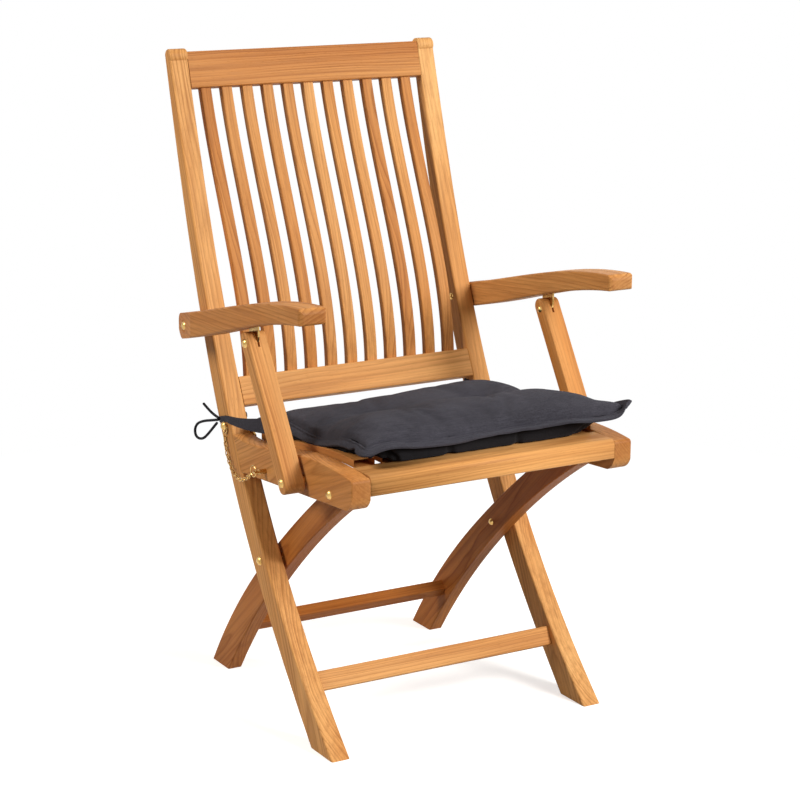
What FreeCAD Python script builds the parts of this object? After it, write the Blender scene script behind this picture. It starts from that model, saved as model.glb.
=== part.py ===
import FreeCAD, Part
import math
import os
import Sketcher
from FreeCAD import Vector

# A folding garden armchair with a seat cushion, in millimetres.
# The floor is z = 0, the front faces -Y, and the origin is midway between the four feet.
# Side outlines are drawn as (y, z) pairs, because the frame is built from flat boards.

os.makedirs("parts", exist_ok=True)
doc = FreeCAD.newDocument("folding_armchair")
sheet = doc.addObject("Spreadsheet::Sheet", "Sizes")

SIZES = {
    # Widths, measured from the middle plane outwards
    "back_half_span": 217.0,
    "post_thickness": 32.0,
    "side_rail_thickness": 32.0,
    "leg_thickness": 25.0,
    "leg_spacer": 5.5,
    "support_gap": 4.5,
    "support_thickness": 33.0,
    "support_depth": 25.5,
    "support_overshoot": 5.2,
    "arm_gap": 1.0,
    "arm_width": 46.0,
    "arm_corner_radius": 8.0,
    "arm_taper_start": 133.5,
    "arm_taper_angle": 9.7,
    "arm_rear": 204.5,
    "arm_front": -248.0,
    # Eased edges and rounded ends
    "post_ease": 3.0,
    "post_crown_rise": 14.0,
    "post_crown_shift": 1.5,
    "board_ease": 2.0,
    "slat_ease": 1.8,
    "arm_ease": 3.5,
    "arm_rear_round": 14.0,
    "arm_front_round": 9.0,
    # Clearances
    "face_clearance": 0.3,
    "running_clearance": 0.08,
    "seat_rear_gap": 1.0,
    # Pivots
    "scissor_y": -10.0,
    "scissor_z": 255.6,
    "seat_pivot_y": -246.3,
    "seat_pivot_z": 425.2,
    "foot_pivot_y": -163.6,
    "foot_pivot_z": 427.3,
    "top_pivot_y": -45.5,
    "top_pivot_z": 620.8,
    "arm_pivot_y": 175.0,
    "arm_pivot_z": 608.0,
    # Rear legs
    "leg_end_radius": 23.0,
    "leg_end_angle": 35.0,
    "leg_bolt_offset": 7.5,
    # Rails of the back
    "top_rail_low": 978.0,
    "top_rail_height": 60.0,
    "bottom_rail_low": 483.6,
    "bottom_rail_height": 48.0,
    "back_rail_thickness": 21.0,
    # Slats of the back
    "back_slat_count": 11,
    "back_slat_width": 19.1,
    "back_slat_thickness": 12.5,
    # Stretchers
    "front_stretcher_y": -139.9,
    "front_stretcher_z": 87.8,
    "front_stretcher_height": 31.0,
    "front_stretcher_thickness": 17.0,
    "front_stretcher_lean": -28.7,
    "rear_stretcher_y": 153.1,
    "rear_stretcher_z": 90.7,
    "rear_stretcher_height": 22.0,
    "rear_stretcher_thickness": 20.0,
    "rear_stretcher_lean": 38.5,
    # Seat
    "seat_front": -317.5,
    "front_rail_low": 435.0,
    "front_rail_top": 466.0,
    "front_rail_depth": 32.0,
    "front_rail_round": 10.0,
    "front_rail_ease": 3.0,
    "side_rail_rear_top": 442.8,
    "side_rail_rear_low": 387.0,
    "side_rail_nose_drop": 6.0,
    "side_rail_nose_lift": 23.0,
    "seat_slat_count": 9,
    "seat_slat_width": 32.0,
    "seat_slat_gap": 11.5,
    "seat_slat_thickness": 12.5,
    "seat_slat_lift": 8.5,
    "seat_slat_front": -278.5,
    "seat_slat_rear": 50.0,
    "batten_half_length": 183.0,
    "batten_depth": 42.0,
    "batten_thickness": 14.0,
    "rear_rail_y": 15.0,
    "rear_rail_thickness": 22.0,
    "rear_rail_height": 40.0,
    # Brass
    "bolt_radius": 3.0,
    "dome_radius": 7.5,
    "dome_height": 4.5,
    "nut_radius": 6.0,
    "nut_height": 4.0,
    "collar_radius": 9.0,
    "spot_face_radius": 10.0,
    "spot_face_depth": 1.4,
    "tongue_thickness": 3.0,
    "tongue_width": 30.0,
    "tongue_radius": 11.0,
    "tongue_root": 12.0,
    "kerf_depth": 30.0,
    # Rest of the seat on the posts
    "post_bolt_y": 104.5,
    "post_bolt_z": 452.0,
    "stud_y": 58.0,
    "stud_z": 427.0,
    "stud_radius": 4.0,
    "stud_length": 5.0,
    "rest_plate_thickness": 3.0,
    "rest_plate_half_width": 9.0,
    "rest_notch_lean": 17.0,
    # Safety pin and chain
    "pin_y": -36.0,
    "pin_z": 410.7,
    "pin_radius": 4.0,
    "pin_stub": 4.0,
    "pin_reach": 21.0,
    "pin_flat_length": 9.0,
    "pin_flat_thickness": 3.0,
    "ring_inset": 4.0,
    "ring_radius": 9.0,
    "ring_wire_radius": 0.9,
    "link_length": 11.0,
    "link_width": 7.2,
    "link_wire_radius": 0.8,
    "link_slack": 0.35,
    "chain_neck": 5.0,
    "chain_eye_radius": 7.5,
    "chain_sag": 50.0,
    "chain_belly_y": 76.0,
    "chain_belly_drop": 53.7,
    "chain_belly_lean": 4.0,
    "chain_end_angle": 35.0,
    "wire_facets": 8,
    # Cushion
    "cushion_half_width": 222.0,
    "cushion_front": -288.0,
    "cushion_rear": 74.0,
    "cushion_hem_front_z": 487.5,
    "cushion_hem_rear_z": 457.4,
    "cushion_hem": 16.0,
    "cushion_hem_thickness": 3.0,
    "cushion_crown": 29.0,
    "cushion_belly": 15.0,
    "cushion_draw_in": 6.0,
    "cushion_shoulder": 34.0,
    "cushion_overhang": 2.0,
    "tuft_depth": 13.0,
    "tuft_ball": 52.0,
    "tuft_spacing": 182.0,
    # Ties
    "strap_low": 461.5,
    "strap_high": 473.0,
    "strap_thickness": 1.6,
    "cord_radius": 2.2,
}

CURVES = {
    "post_front": [(-251.4, 0), (-137.2, 120), (-32.7, 255), (73.8, 430), (153.7, 600), (226.7, 800), (294, 1022)],
    "post_rear": [(-180.6, 0), (-78.9, 120), (19.9, 255), (119.3, 430), (190.2, 600), (255, 800), (315.9, 1030)],
    "leg_upper": [(-103.5, 360.8), (-3.5, 280), (96.5, 188.8), (176.5, 101.8), (252.4, 0)],
    "leg_lower": [(-143.5, 336.6), (-43.5, 255.3), (56.5, 160.3), (126.5, 82.5), (191, 0)],
    "slat_front": [(132.9, 510), (144.7, 600), (176.9, 700), (219.1, 800), (261.1, 900), (294, 1000)],
    "rail_top": [(-3.5, 443.5), (-83.5, 454.6), (-153.5, 463.9), (-223.5, 467.7), (-311.5, 463.1)],
    "rail_bottom": [(-83.5, 397.4), (-203.5, 406.4), (-296.5, 413)],
    "arm_top": [(193, 626), (96.5, 647.4), (-3.5, 671.9), (-103.5, 693.8), (-183.5, 705.9), (-239, 710)],
    "arm_bottom": [(186, 584.8), (86.5, 608.4), (-3.5, 633.1), (-93.5, 657), (-173.5, 674.3), (-240, 683.9)],
}

cell_row = 0
for alias, value in SIZES.items():
    cell_row += 1
    sheet.set(f"A{cell_row}", alias)
    sheet.set(f"B{cell_row}", str(value))
    sheet.setAlias(f"B{cell_row}", alias)
for name, pairs in CURVES.items():
    for index, pair in enumerate(pairs):
        for letter, value in zip("yz", pair):
            cell_row += 1
            sheet.set(f"A{cell_row}", f"{name}_{index}_{letter}")
            sheet.set(f"B{cell_row}", str(value))
            sheet.setAlias(f"B{cell_row}", f"{name}_{index}_{letter}")
doc.recompute()


def size(alias):
    return float(sheet.get(alias))


def points(name):
    """The (y, z) pairs of one outline, read from the sheet."""
    return [(size(f"{name}_{i}_y"), size(f"{name}_{i}_z")) for i in range(len(CURVES[name]))]


# Small geometry helpers in the side plane


def at(pair):
    return Vector(pair[0], pair[1], 0)


def spline(pairs):
    curve = Part.BSplineCurve()
    curve.interpolate([at(p) for p in pairs])
    return curve


def segment(start, end):
    return Part.LineSegment(at(start), at(end))


def arc(start, middle, end):
    return Part.Arc(at(start), at(middle), at(end))


def unit(angle):
    """The direction at an angle in degrees from +Y towards +Z."""
    return math.cos(math.radians(angle)), math.sin(math.radians(angle))


def shifted(pair, direction, distance):
    return pair[0] + direction[0] * distance, pair[1] + direction[1] * distance


def between(first, second, bulge):
    """The middle of two points, moved to the right of the way from the first to the second by bulge."""
    run = (second[0] - first[0], second[1] - first[1])
    length = math.hypot(*run)
    middle = ((first[0] + second[0]) / 2, (first[1] + second[1]) / 2)
    return shifted(middle, (run[1] / length, -run[0] / length), bulge)


def crossing(curve, point, normal):
    """Where a curve crosses the line through a point, and the parameter there."""
    low, high = curve.FirstParameter, curve.LastParameter

    def side(u):
        value = curve.value(u)
        return (value.x - point[0]) * normal[0] + (value.y - point[1]) * normal[1]

    rising = side(high) > side(low)
    for _ in range(60):
        middle = (low + high) / 2
        if (side(middle) > 0) == rising:
            high = middle
        else:
            low = middle
    value = curve.value(low)
    return (value.x, value.y), low


def y_at(curve, z):
    return crossing(curve, (0, z), (0, 1))[0][0]


def z_at(curve, y):
    return crossing(curve, (y, 0), (1, 0))[0][1]


# Makers of sub-parts

parts = []


def keep(item, label):
    item.Label = label
    parts.append(item)
    return item


def origin_plane(body, role):
    return next(item for item in body.Origin.OriginFeatures if item.Role == role)


def side_sketch(body, name, geometry):
    sketch = body.newObject("Sketcher::SketchObject", name)
    sketch.AttachmentSupport = [(origin_plane(body, "YZ_Plane"), "")]
    sketch.MapMode = "FlatFace"
    sketch.addGeometry(geometry, False)
    return sketch


def lies_upright(edge):
    """Whether an edge lies in a plane square to X, such as a board's flat faces."""
    return edge.BoundBox.XLength < 0.001


def outline_edges(shape, outline, square):
    """Names of the edges of the two flat faces, without those on the outline's square items."""
    left_square = [outline[index].toShape().CenterOfMass for index in square]
    names = []
    for number, edge in enumerate(shape.Edges, 1):
        middle = edge.CenterOfMass
        skipped = any(math.hypot(middle.y - p.x, middle.z - p.y) < 0.01 for p in left_square)
        if lies_upright(edge) and not skipped:
            names.append(f"Edge{number}")
    return names


def board(label, outline, thickness, inner_x, holes=(), ease="", square=()):
    """A flat board: a side outline padded along +X from inner_x, with eased edges and round holes."""
    body = doc.addObject("PartDesign::Body", label)
    pad = body.newObject("PartDesign::Pad", f"{label}_pad")
    pad.Profile = side_sketch(body, f"{label}_outline", outline)
    pad.setExpression("Length", thickness)
    body.Tip = pad
    doc.recompute()
    if ease:
        fillet = body.newObject("PartDesign::Fillet", f"{label}_ease")
        fillet.Base = (pad, outline_edges(pad.Shape, outline, square))
        fillet.setExpression("Radius", f"Sizes.{ease}")
        body.Tip = fillet
        doc.recompute()
    for number, (centre, radius) in enumerate(holes):
        circle = Part.Circle(at(centre), Vector(0, 0, 1), 1)
        sketch = side_sketch(body, f"{label}_hole_{number}", [circle])
        radius_row = sketch.addConstraint(Sketcher.Constraint("Radius", 0, 1))
        sketch.setExpression(f"Constraints[{radius_row}]", radius)
        pocket = body.newObject("PartDesign::Pocket", f"{label}_pocket_{number}")
        pocket.Profile = sketch
        pocket.Type = "ThroughAll"
        pocket.Reversed = True
        body.Tip = pocket
        doc.recompute()
    body.setExpression("Placement.Base.x", inner_x)
    return body


def beam(label, half_length, thickness, height, centre, lean):
    """A straight bar across the chair, its section turned about X by lean degrees."""
    box = doc.addObject("Part::Box", f"{label}_bar")
    box.setExpression("Length", f"2 * {half_length}")
    box.setExpression("Width", thickness)
    box.setExpression("Height", height)
    doc.recompute()
    turn = FreeCAD.Rotation(Vector(1, 0, 0), lean)
    middle = turn.multVec(Vector(0, box.Width.Value / 2, box.Height.Value / 2))
    corner = Vector(-box.Length.Value / 2, centre[0], centre[1]) - middle
    box.Placement = FreeCAD.Placement(corner, turn)
    eased = doc.addObject("Part::Fillet", label)
    eased.Base = box
    ease = size("board_ease")
    lengthwise = [n for n, edge in enumerate(box.Shape.Edges, 1) if edge.BoundBox.XLength > ease]
    eased.Edges = [(number, ease, ease) for number in lengthwise]
    return eased


def plain(label, shape):
    item = doc.addObject("Part::Feature", label)
    item.Shape = shape
    return keep(item, label)


def turned(profile, side, centre):
    """A solid of revolution about a line along X: profile holds (x, r) edges, side is 1 or -1."""
    face = Part.Face(Part.Wire([edge.toShape() for edge in profile]))
    solid = face.revolve(Vector(0, 0, 0), Vector(1, 0, 0), 360)
    if side < 0:
        solid = solid.mirror(Vector(0, 0, 0), Vector(1, 0, 0))
    solid.translate(Vector(0, centre[0], centre[1]))
    return solid


def cap(seat_x, radius, height, outward):
    """The arc of a domed head that stands on seat_x and points along outward."""
    sphere = (radius * radius + height * height) / (2 * height)
    half = math.asin(radius / sphere) / 2
    bulge = height - sphere * (1 - math.cos(half))
    middle = (seat_x + outward * bulge, sphere * math.sin(half))
    return arc((seat_x, radius), middle, (seat_x + outward * height, 0))


def bolt(inner_x, outer_x, side, centre, neck=0.0):
    """A domed bolt from a domed nut at inner_x to its head at outer_x."""
    shank, head, nut = size("bolt_radius"), size("dome_radius"), size("nut_radius")
    head_x = outer_x + neck
    profile = [
        cap(inner_x, nut, size("nut_height"), -1),
        segment((inner_x, nut), (inner_x, shank)),
        segment((inner_x, shank), (head_x, shank)),
        segment((head_x, shank), (head_x, head)),
        cap(head_x, head, size("dome_height"), 1),
        segment((head_x + size("dome_height"), 0), (inner_x - size("nut_height"), 0)),
    ]
    return turned(profile, side, centre)


def collar(inner_x, outer_x, side, centre, bore):
    outer = Part.makeCylinder(size("collar_radius"), outer_x - inner_x, Vector(inner_x, 0, 0), Vector(1, 0, 0))
    ring = outer.cut(Part.makeCylinder(bore, outer_x - inner_x, Vector(inner_x, 0, 0), Vector(1, 0, 0)))
    if side < 0:
        ring = ring.mirror(Vector(0, 0, 0), Vector(1, 0, 0))
    ring.translate(Vector(0, centre[0], centre[1]))
    return ring


# Shared places

SIDES = (("left", -1), ("right", 1))
clear = size("face_clearance")
bolt_radius = size("bolt_radius")
running_radius = bolt_radius + size("running_clearance")
span = size("back_half_span")
post_outer = span + size("post_thickness")
rail_outer = span + size("side_rail_thickness")
leg_outer = span - size("leg_spacer")
leg_inner = leg_outer - size("leg_thickness")
support_inner = rail_outer + size("support_gap")
support_outer = support_inner + size("support_thickness")
arm_inner = post_outer + size("arm_gap")
arm_outer = arm_inner + size("arm_width")
scissor = (size("scissor_y"), size("scissor_z"))
seat_pivot = (size("seat_pivot_y"), size("seat_pivot_z"))
foot_pivot = (size("foot_pivot_y"), size("foot_pivot_z"))
top_pivot = (size("top_pivot_y"), size("top_pivot_z"))
arm_pivot = (size("arm_pivot_y"), size("arm_pivot_z"))
post_bolt = (size("post_bolt_y"), size("post_bolt_z"))
stud = (size("stud_y"), size("stud_z"))
pin = (size("pin_y"), size("pin_z"))
FIXED = "Sizes.bolt_radius"
RUNNING = "Sizes.bolt_radius + Sizes.running_clearance"


def start_x(side, inner, thickness):
    """The expression for the low X face of a board that lies between inner and inner + thickness."""
    if side > 0:
        return inner
    return f"-({inner}) - {thickness}"


# Back: two bent posts that run down to the front feet

post_front = spline(points("post_front"))
post_rear = spline(points("post_rear"))
front_top = points("post_front")[-1]
rear_top = points("post_rear")[-1]
post_crown = (
    (front_top[0] + rear_top[0]) / 2 - size("post_crown_shift"),
    (front_top[1] + rear_top[1]) / 2 + size("post_crown_rise"),
)
post_outline = [
    post_front,
    arc(front_top, post_crown, rear_top),
    post_rear,
    segment(points("post_rear")[0], points("post_front")[0]),
]
post_holes = [(scissor, RUNNING), (arm_pivot, RUNNING), (post_bolt, FIXED)]
for name, side in SIDES:
    low_x = start_x(side, "Sizes.back_half_span", "Sizes.post_thickness")
    label = f"post_{name}"
    keep(board(label, post_outline, "Sizes.post_thickness", low_x, post_holes, "post_ease", [3]), label)

# Rails of the back, flush with the posts' front faces


def back_rail(label, low, height):
    """A rail between the posts from the height low: the box, its lower front corner and its direction."""
    start = (y_at(post_front, low), low)
    reach = low + height * 0.7
    lean = math.degrees(math.atan2(reach - low, y_at(post_front, reach) - start[0]))
    along, inwards = unit(lean), unit(lean - 90)
    centre = shifted(shifted(start, along, height / 2), inwards, size("back_rail_thickness") / 2)
    box = beam(label, "Sizes.back_half_span", "Sizes.back_rail_thickness", f"Sizes.{label}_height", centre, lean - 90)
    keep(box, label)
    return start, along


bottom_start, bottom_along = back_rail("bottom_rail", size("bottom_rail_low"), size("bottom_rail_height"))
top_start, top_along = back_rail("top_rail", size("top_rail_low"), size("top_rail_height"))
slat_foot = shifted(bottom_start, bottom_along, size("bottom_rail_height"))

# Curved slats of the back, cut off square to the two rails


def parallel(curve, distance, count=9):
    """A curve beside another one, at a distance towards the rear."""
    first, last = curve.FirstParameter, curve.LastParameter
    pairs = []
    for i in range(count):
        u = first + (last - first) * i / (count - 1)
        tangent = curve.tangent(u)[0]
        value = curve.value(u)
        pairs.append((value.x + tangent.y * distance, value.y - tangent.x * distance))
    return spline(pairs)


slat_front = spline(points("slat_front"))
slat_rear = parallel(slat_front, size("back_slat_thickness"))
slat_ends = []
for edge in (slat_front, slat_rear):
    low_end, low_u = crossing(edge, slat_foot, bottom_along)
    high_end, high_u = crossing(edge, top_start, top_along)
    edge.segment(low_u, high_u)
    slat_ends.append(((edge.StartPoint.x, edge.StartPoint.y), (edge.EndPoint.x, edge.EndPoint.y)))
slat_outline = [
    slat_front,
    segment(slat_ends[0][1], slat_ends[1][1]),
    slat_rear,
    segment(slat_ends[1][0], slat_ends[0][0]),
]
back_slats = int(size("back_slat_count"))
for number in range(back_slats):
    step = f"(2 * Sizes.back_half_span - {back_slats} * Sizes.back_slat_width) / {back_slats + 1}"
    low_x = f"-Sizes.back_half_span + {step} + {number} * ({step} + Sizes.back_slat_width)"
    label = f"back_slat_{number + 1:02d}"
    keep(board(label, slat_outline, "Sizes.back_slat_width", low_x, (), "slat_ease", [1, 3]), label)

# Front stretcher between the posts

front_stretcher = beam(
    "front_stretcher",
    "Sizes.back_half_span",
    "Sizes.front_stretcher_thickness",
    "Sizes.front_stretcher_height",
    (size("front_stretcher_y"), size("front_stretcher_z")),
    size("front_stretcher_lean"),
)
keep(front_stretcher, "front_stretcher")

# Rear legs, crossing the posts at the scissor bolts, with the stretcher that joins them

leg_axis = unit(-size("leg_end_angle"))
leg_normal = unit(90 - size("leg_end_angle"))
end_centre = shifted(seat_pivot, leg_normal, size("leg_bolt_offset"))
end_upper = shifted(end_centre, leg_normal, size("leg_end_radius"))
end_lower = shifted(end_centre, leg_normal, -size("leg_end_radius"))
end_tip = shifted(end_centre, leg_axis, -size("leg_end_radius"))
leg_upper = [end_upper] + points("leg_upper")
leg_lower = [end_lower] + points("leg_lower")
leg_outline = [
    spline(leg_upper),
    segment(leg_upper[-1], leg_lower[-1]),
    spline(leg_lower),
    arc(end_lower, end_tip, end_upper),
]
leg_low = "Sizes.back_half_span - Sizes.leg_spacer - Sizes.leg_thickness"
leg_holes = [(scissor, FIXED), (seat_pivot, RUNNING)]
for name, side in SIDES:
    label = f"rear_leg_{name}"
    low_x = start_x(side, leg_low, "Sizes.leg_thickness")
    keep(board(label, leg_outline, "Sizes.leg_thickness", low_x, leg_holes, "board_ease", [1]), label)

rear_stretcher = beam(
    "rear_stretcher",
    f"({leg_low})",
    "Sizes.rear_stretcher_thickness",
    "Sizes.rear_stretcher_height",
    (size("rear_stretcher_y"), size("rear_stretcher_z")),
    size("rear_stretcher_lean"),
)
keep(rear_stretcher, "rear_stretcher")

# Seat frame: side rails with a crowned top, a front rail with a bullnose and a rear rail

rail_rear_top_z = size("side_rail_rear_top")
rail_rear_low_z = size("side_rail_rear_low")
rear_gap = size("seat_rear_gap")
rail_top = spline([(y_at(post_front, rail_rear_top_z) - rear_gap, rail_rear_top_z)] + points("rail_top"))
rail_bottom = spline([(y_at(post_front, rail_rear_low_z) - rear_gap, rail_rear_low_z)] + points("rail_bottom"))
rail_top_end = points("rail_top")[-1]
rail_bottom_end = points("rail_bottom")[-1]
seat_front = size("seat_front")
nose_drop, nose_lift = size("side_rail_nose_drop"), size("side_rail_nose_lift")
nose_top = (seat_front, rail_top_end[1] - nose_drop)
nose_low = (seat_front, rail_bottom_end[1] + nose_lift)
rail_outline = [
    rail_top,
    arc(rail_top_end, between(rail_top_end, nose_top, 0.3 * nose_drop), nose_top),
    segment(nose_top, nose_low),
    arc(nose_low, between(nose_low, rail_bottom_end, 0.2 * nose_lift), rail_bottom_end),
    rail_bottom,
    segment((rail_bottom.StartPoint.x, rail_rear_low_z), (rail_top.StartPoint.x, rail_rear_top_z)),
]
for name, side in SIDES:
    label = f"seat_rail_{name}"
    holes = [(seat_pivot, FIXED)]
    if side < 0:
        holes.append((pin, "Sizes.pin_radius + Sizes.running_clearance"))
    low_x = start_x(side, "Sizes.back_half_span", "Sizes.side_rail_thickness")
    keep(board(label, rail_outline, "Sizes.side_rail_thickness", low_x, holes, "board_ease", [3, 5]), label)

front_low, front_top_z = size("front_rail_low"), size("front_rail_top")
front_round = size("front_rail_round")
front_back_y = seat_front + size("front_rail_depth")
round_middle = shifted((seat_front + front_round, front_top_z - front_round), unit(135), front_round)
low_ease = size("front_rail_ease")
low_middle = shifted((seat_front + low_ease, front_low + low_ease), unit(225), low_ease)
front_rail_outline = [
    arc((seat_front + low_ease, front_low), low_middle, (seat_front, front_low + low_ease)),
    segment((seat_front, front_low + low_ease), (seat_front, front_top_z - front_round)),
    arc((seat_front, front_top_z - front_round), round_middle, (seat_front + front_round, front_top_z)),
    segment((seat_front + front_round, front_top_z), (front_back_y, front_top_z)),
    segment((front_back_y, front_top_z), (front_back_y, front_low)),
    segment((front_back_y, front_low), (seat_front + low_ease, front_low)),
]
front_rail = board("front_rail", front_rail_outline, "2 * Sizes.back_half_span", "-Sizes.back_half_span")
keep(front_rail, "front_rail")

# Seat slats from front to rear, following the rails' crown

slat_thickness = size("seat_slat_thickness")
slat_lift = size("seat_slat_lift")
slat_stations = 6
slat_step = (size("seat_slat_rear") - size("seat_slat_front")) / (slat_stations - 1)
slat_y = [size("seat_slat_front") + slat_step * i for i in range(slat_stations)]
slat_tops = [(y, z_at(rail_top, y) + slat_lift) for y in slat_y]
slat_bottoms = [(y, z - slat_thickness) for y, z in slat_tops]
seat_slat_bottom = spline(slat_bottoms)
seat_slat_outline = [
    spline(slat_tops),
    segment(slat_tops[-1], slat_bottoms[-1]),
    seat_slat_bottom,
    segment(slat_bottoms[0], slat_tops[0]),
]
seat_slats = int(size("seat_slat_count"))
for number in range(seat_slats):
    offset = number - (seat_slats - 1) / 2
    low_x = f"{offset} * (Sizes.seat_slat_width + Sizes.seat_slat_gap) - Sizes.seat_slat_width / 2"
    label = f"seat_slat_{number + 1}"
    keep(board(label, seat_slat_outline, "Sizes.seat_slat_width", low_x, (), "slat_ease", [1, 3]), label)


def seat_bar(label, half_length, thickness, height, middle_y):
    """A bar under the seat slats, its top as high as their undersides allow."""
    reach = size(thickness) / 2
    ends = (max(middle_y - reach, slat_y[0]), middle_y + reach)
    top = min(z_at(seat_slat_bottom, y) for y in ends)
    centre = (middle_y, top - size(height) / 2)
    keep(beam(label, f"Sizes.{half_length}", f"Sizes.{thickness}", f"Sizes.{height}", centre, 0), label)


seat_bar("slat_batten", "batten_half_length", "batten_depth", "batten_thickness", front_back_y + size("batten_depth") / 2)
seat_bar("rear_rail", "back_half_span", "rear_rail_thickness", "rear_rail_height", size("rear_rail_y"))

# Armrests: the side outline met by a plan outline that tapers towards the rear


def arm_shape(side):
    top, bottom = points("arm_top"), points("arm_bottom")
    rear, front = size("arm_rear"), size("arm_front")
    rear_round, front_round = size("arm_rear_round"), size("arm_front_round")
    rear_high, rear_low = (rear, top[0][1] - rear_round), (rear, bottom[0][1] + rear_round)
    front_high, front_low = (front, top[-1][1] - front_round), (front, bottom[-1][1] + front_round / 2)
    outline = [
        spline(top),
        arc(top[-1], between(front_high, top[-1], -0.25 * front_round), front_high),
        segment(front_high, front_low),
        arc(front_low, between(bottom[-1], front_low, -0.15 * front_round), bottom[-1]),
        spline(bottom),
        arc(bottom[0], between(bottom[0], rear_low, 0.2 * rear_round), rear_low),
        segment(rear_low, rear_high),
        arc(rear_high, between(rear_high, top[0], 0.2 * rear_round), top[0]),
    ]
    profile = Part.Face(Part.Wire(Part.__sortEdges__([edge.toShape() for edge in outline])))
    profile.Placement = FreeCAD.Placement(Vector(arm_inner, 0, 0), FreeCAD.Rotation(Vector(1, 1, 1), 120))
    solid = profile.extrude(Vector(arm_outer - arm_inner, 0, 0))
    solid = solid.makeFillet(size("arm_ease"), [edge for edge in solid.Edges if lies_upright(edge)])

    taper_y = size("arm_taper_start")
    rear_x = arm_outer - (rear - taper_y) * math.tan(math.radians(size("arm_taper_angle")))
    radius = size("arm_corner_radius")
    inner_round = shifted((arm_inner + radius, front + radius), unit(225), radius)
    outer_round = shifted((arm_outer - radius, front + radius), unit(315), radius)
    plan = [
        segment((arm_inner, rear), (arm_inner, front + radius)),
        arc((arm_inner, front + radius), inner_round, (arm_inner + radius, front)),
        segment((arm_inner + radius, front), (arm_outer - radius, front)),
        arc((arm_outer - radius, front), outer_round, (arm_outer, front + radius)),
        segment((arm_outer, front + radius), (arm_outer, taper_y)),
        segment((arm_outer, taper_y), (rear_x, rear)),
        segment((rear_x, rear), (arm_inner, rear)),
    ]
    cutter = Part.Face(Part.Wire([edge.toShape() for edge in plan])).extrude(Vector(0, 0, 2 * arm_pivot[1]))
    solid = solid.common(cutter)

    seat_x = arm_bolt_seat()
    hole = Part.makeCylinder(bolt_radius, arm_outer, Vector(0, *arm_pivot), Vector(1, 0, 0))
    spot = Part.makeCylinder(size("spot_face_radius"), arm_outer, Vector(seat_x, *arm_pivot), Vector(1, 0, 0))
    solid = solid.cut(hole).cut(spot).cut(tongue_shape(1))
    if side < 0:
        solid = solid.mirror(Vector(0, 0, 0), Vector(1, 0, 0))
    return solid


def arm_bolt_seat():
    """The X of the flat spot under the arm bolt's head."""
    run = arm_pivot[0] - size("arm_taper_start")
    face = arm_outer - max(run, 0) * math.tan(math.radians(size("arm_taper_angle")))
    return face - size("spot_face_depth")


def tongue_shape(side):
    """The brass plate let into the armrest's underside, with an eye round the support's top bolt."""
    half = size("tongue_width") / 2
    radius = size("tongue_radius")
    bottom = spline(points("arm_bottom"))
    left, right = top_pivot[0] - half, top_pivot[0] + half
    top_z = z_at(bottom, top_pivot[0]) + size("tongue_root")
    waist = top_pivot[1] + radius
    start, end = shifted(top_pivot, unit(190), radius), shifted(top_pivot, unit(-10), radius)
    outline = [
        segment((left, top_z), (right, top_z)),
        segment((right, top_z), (right, waist)),
        segment((right, waist), end),
        arc(end, shifted(top_pivot, unit(-90), radius), start),
        segment(start, (left, waist)),
        segment((left, waist), (left, top_z)),
    ]
    face = Part.Face(Part.Wire([edge.toShape() for edge in outline]))
    middle = (support_inner + support_outer) / 2
    low_x = middle - size("tongue_thickness") / 2
    face.Placement = FreeCAD.Placement(Vector(low_x, 0, 0), FreeCAD.Rotation(Vector(1, 1, 1), 120))
    solid = face.extrude(Vector(size("tongue_thickness"), 0, 0))
    hole = Part.makeCylinder(running_radius, arm_outer, Vector(0, *top_pivot), Vector(1, 0, 0))
    solid = solid.cut(hole)
    if side < 0:
        solid = solid.mirror(Vector(0, 0, 0), Vector(1, 0, 0))
    return solid


for name, side in SIDES:
    plain(f"arm_{name}", arm_shape(side))
    plain(f"arm_tongue_{name}", tongue_shape(side))
    plain(f"arm_bolt_{name}", bolt(span - clear, arm_bolt_seat(), side, arm_pivot))

# Arm supports: round-ended bars, slotted at the top for the tongue

support_run = (top_pivot[0] - foot_pivot[0], top_pivot[1] - foot_pivot[1])
support_length = math.hypot(*support_run)
support_along = (support_run[0] / support_length, support_run[1] / support_length)
support_across = (-support_along[1], support_along[0])
support_radius = size("support_depth") / 2
low_centre = shifted(foot_pivot, support_along, -size("support_overshoot"))
high_centre = shifted(top_pivot, support_along, size("support_overshoot"))
support_outline = [
    segment(
        shifted(low_centre, support_across, support_radius),
        shifted(high_centre, support_across, support_radius),
    ),
    arc(
        shifted(high_centre, support_across, support_radius),
        shifted(high_centre, support_along, support_radius),
        shifted(high_centre, support_across, -support_radius),
    ),
    segment(
        shifted(high_centre, support_across, -support_radius),
        shifted(low_centre, support_across, -support_radius),
    ),
    arc(
        shifted(low_centre, support_across, -support_radius),
        shifted(low_centre, support_along, -support_radius),
        shifted(low_centre, support_across, support_radius),
    ),
]
support_tip = shifted(high_centre, support_along, support_radius)
kerf_lean = math.degrees(math.atan2(support_along[1], support_along[0])) - 90
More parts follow.
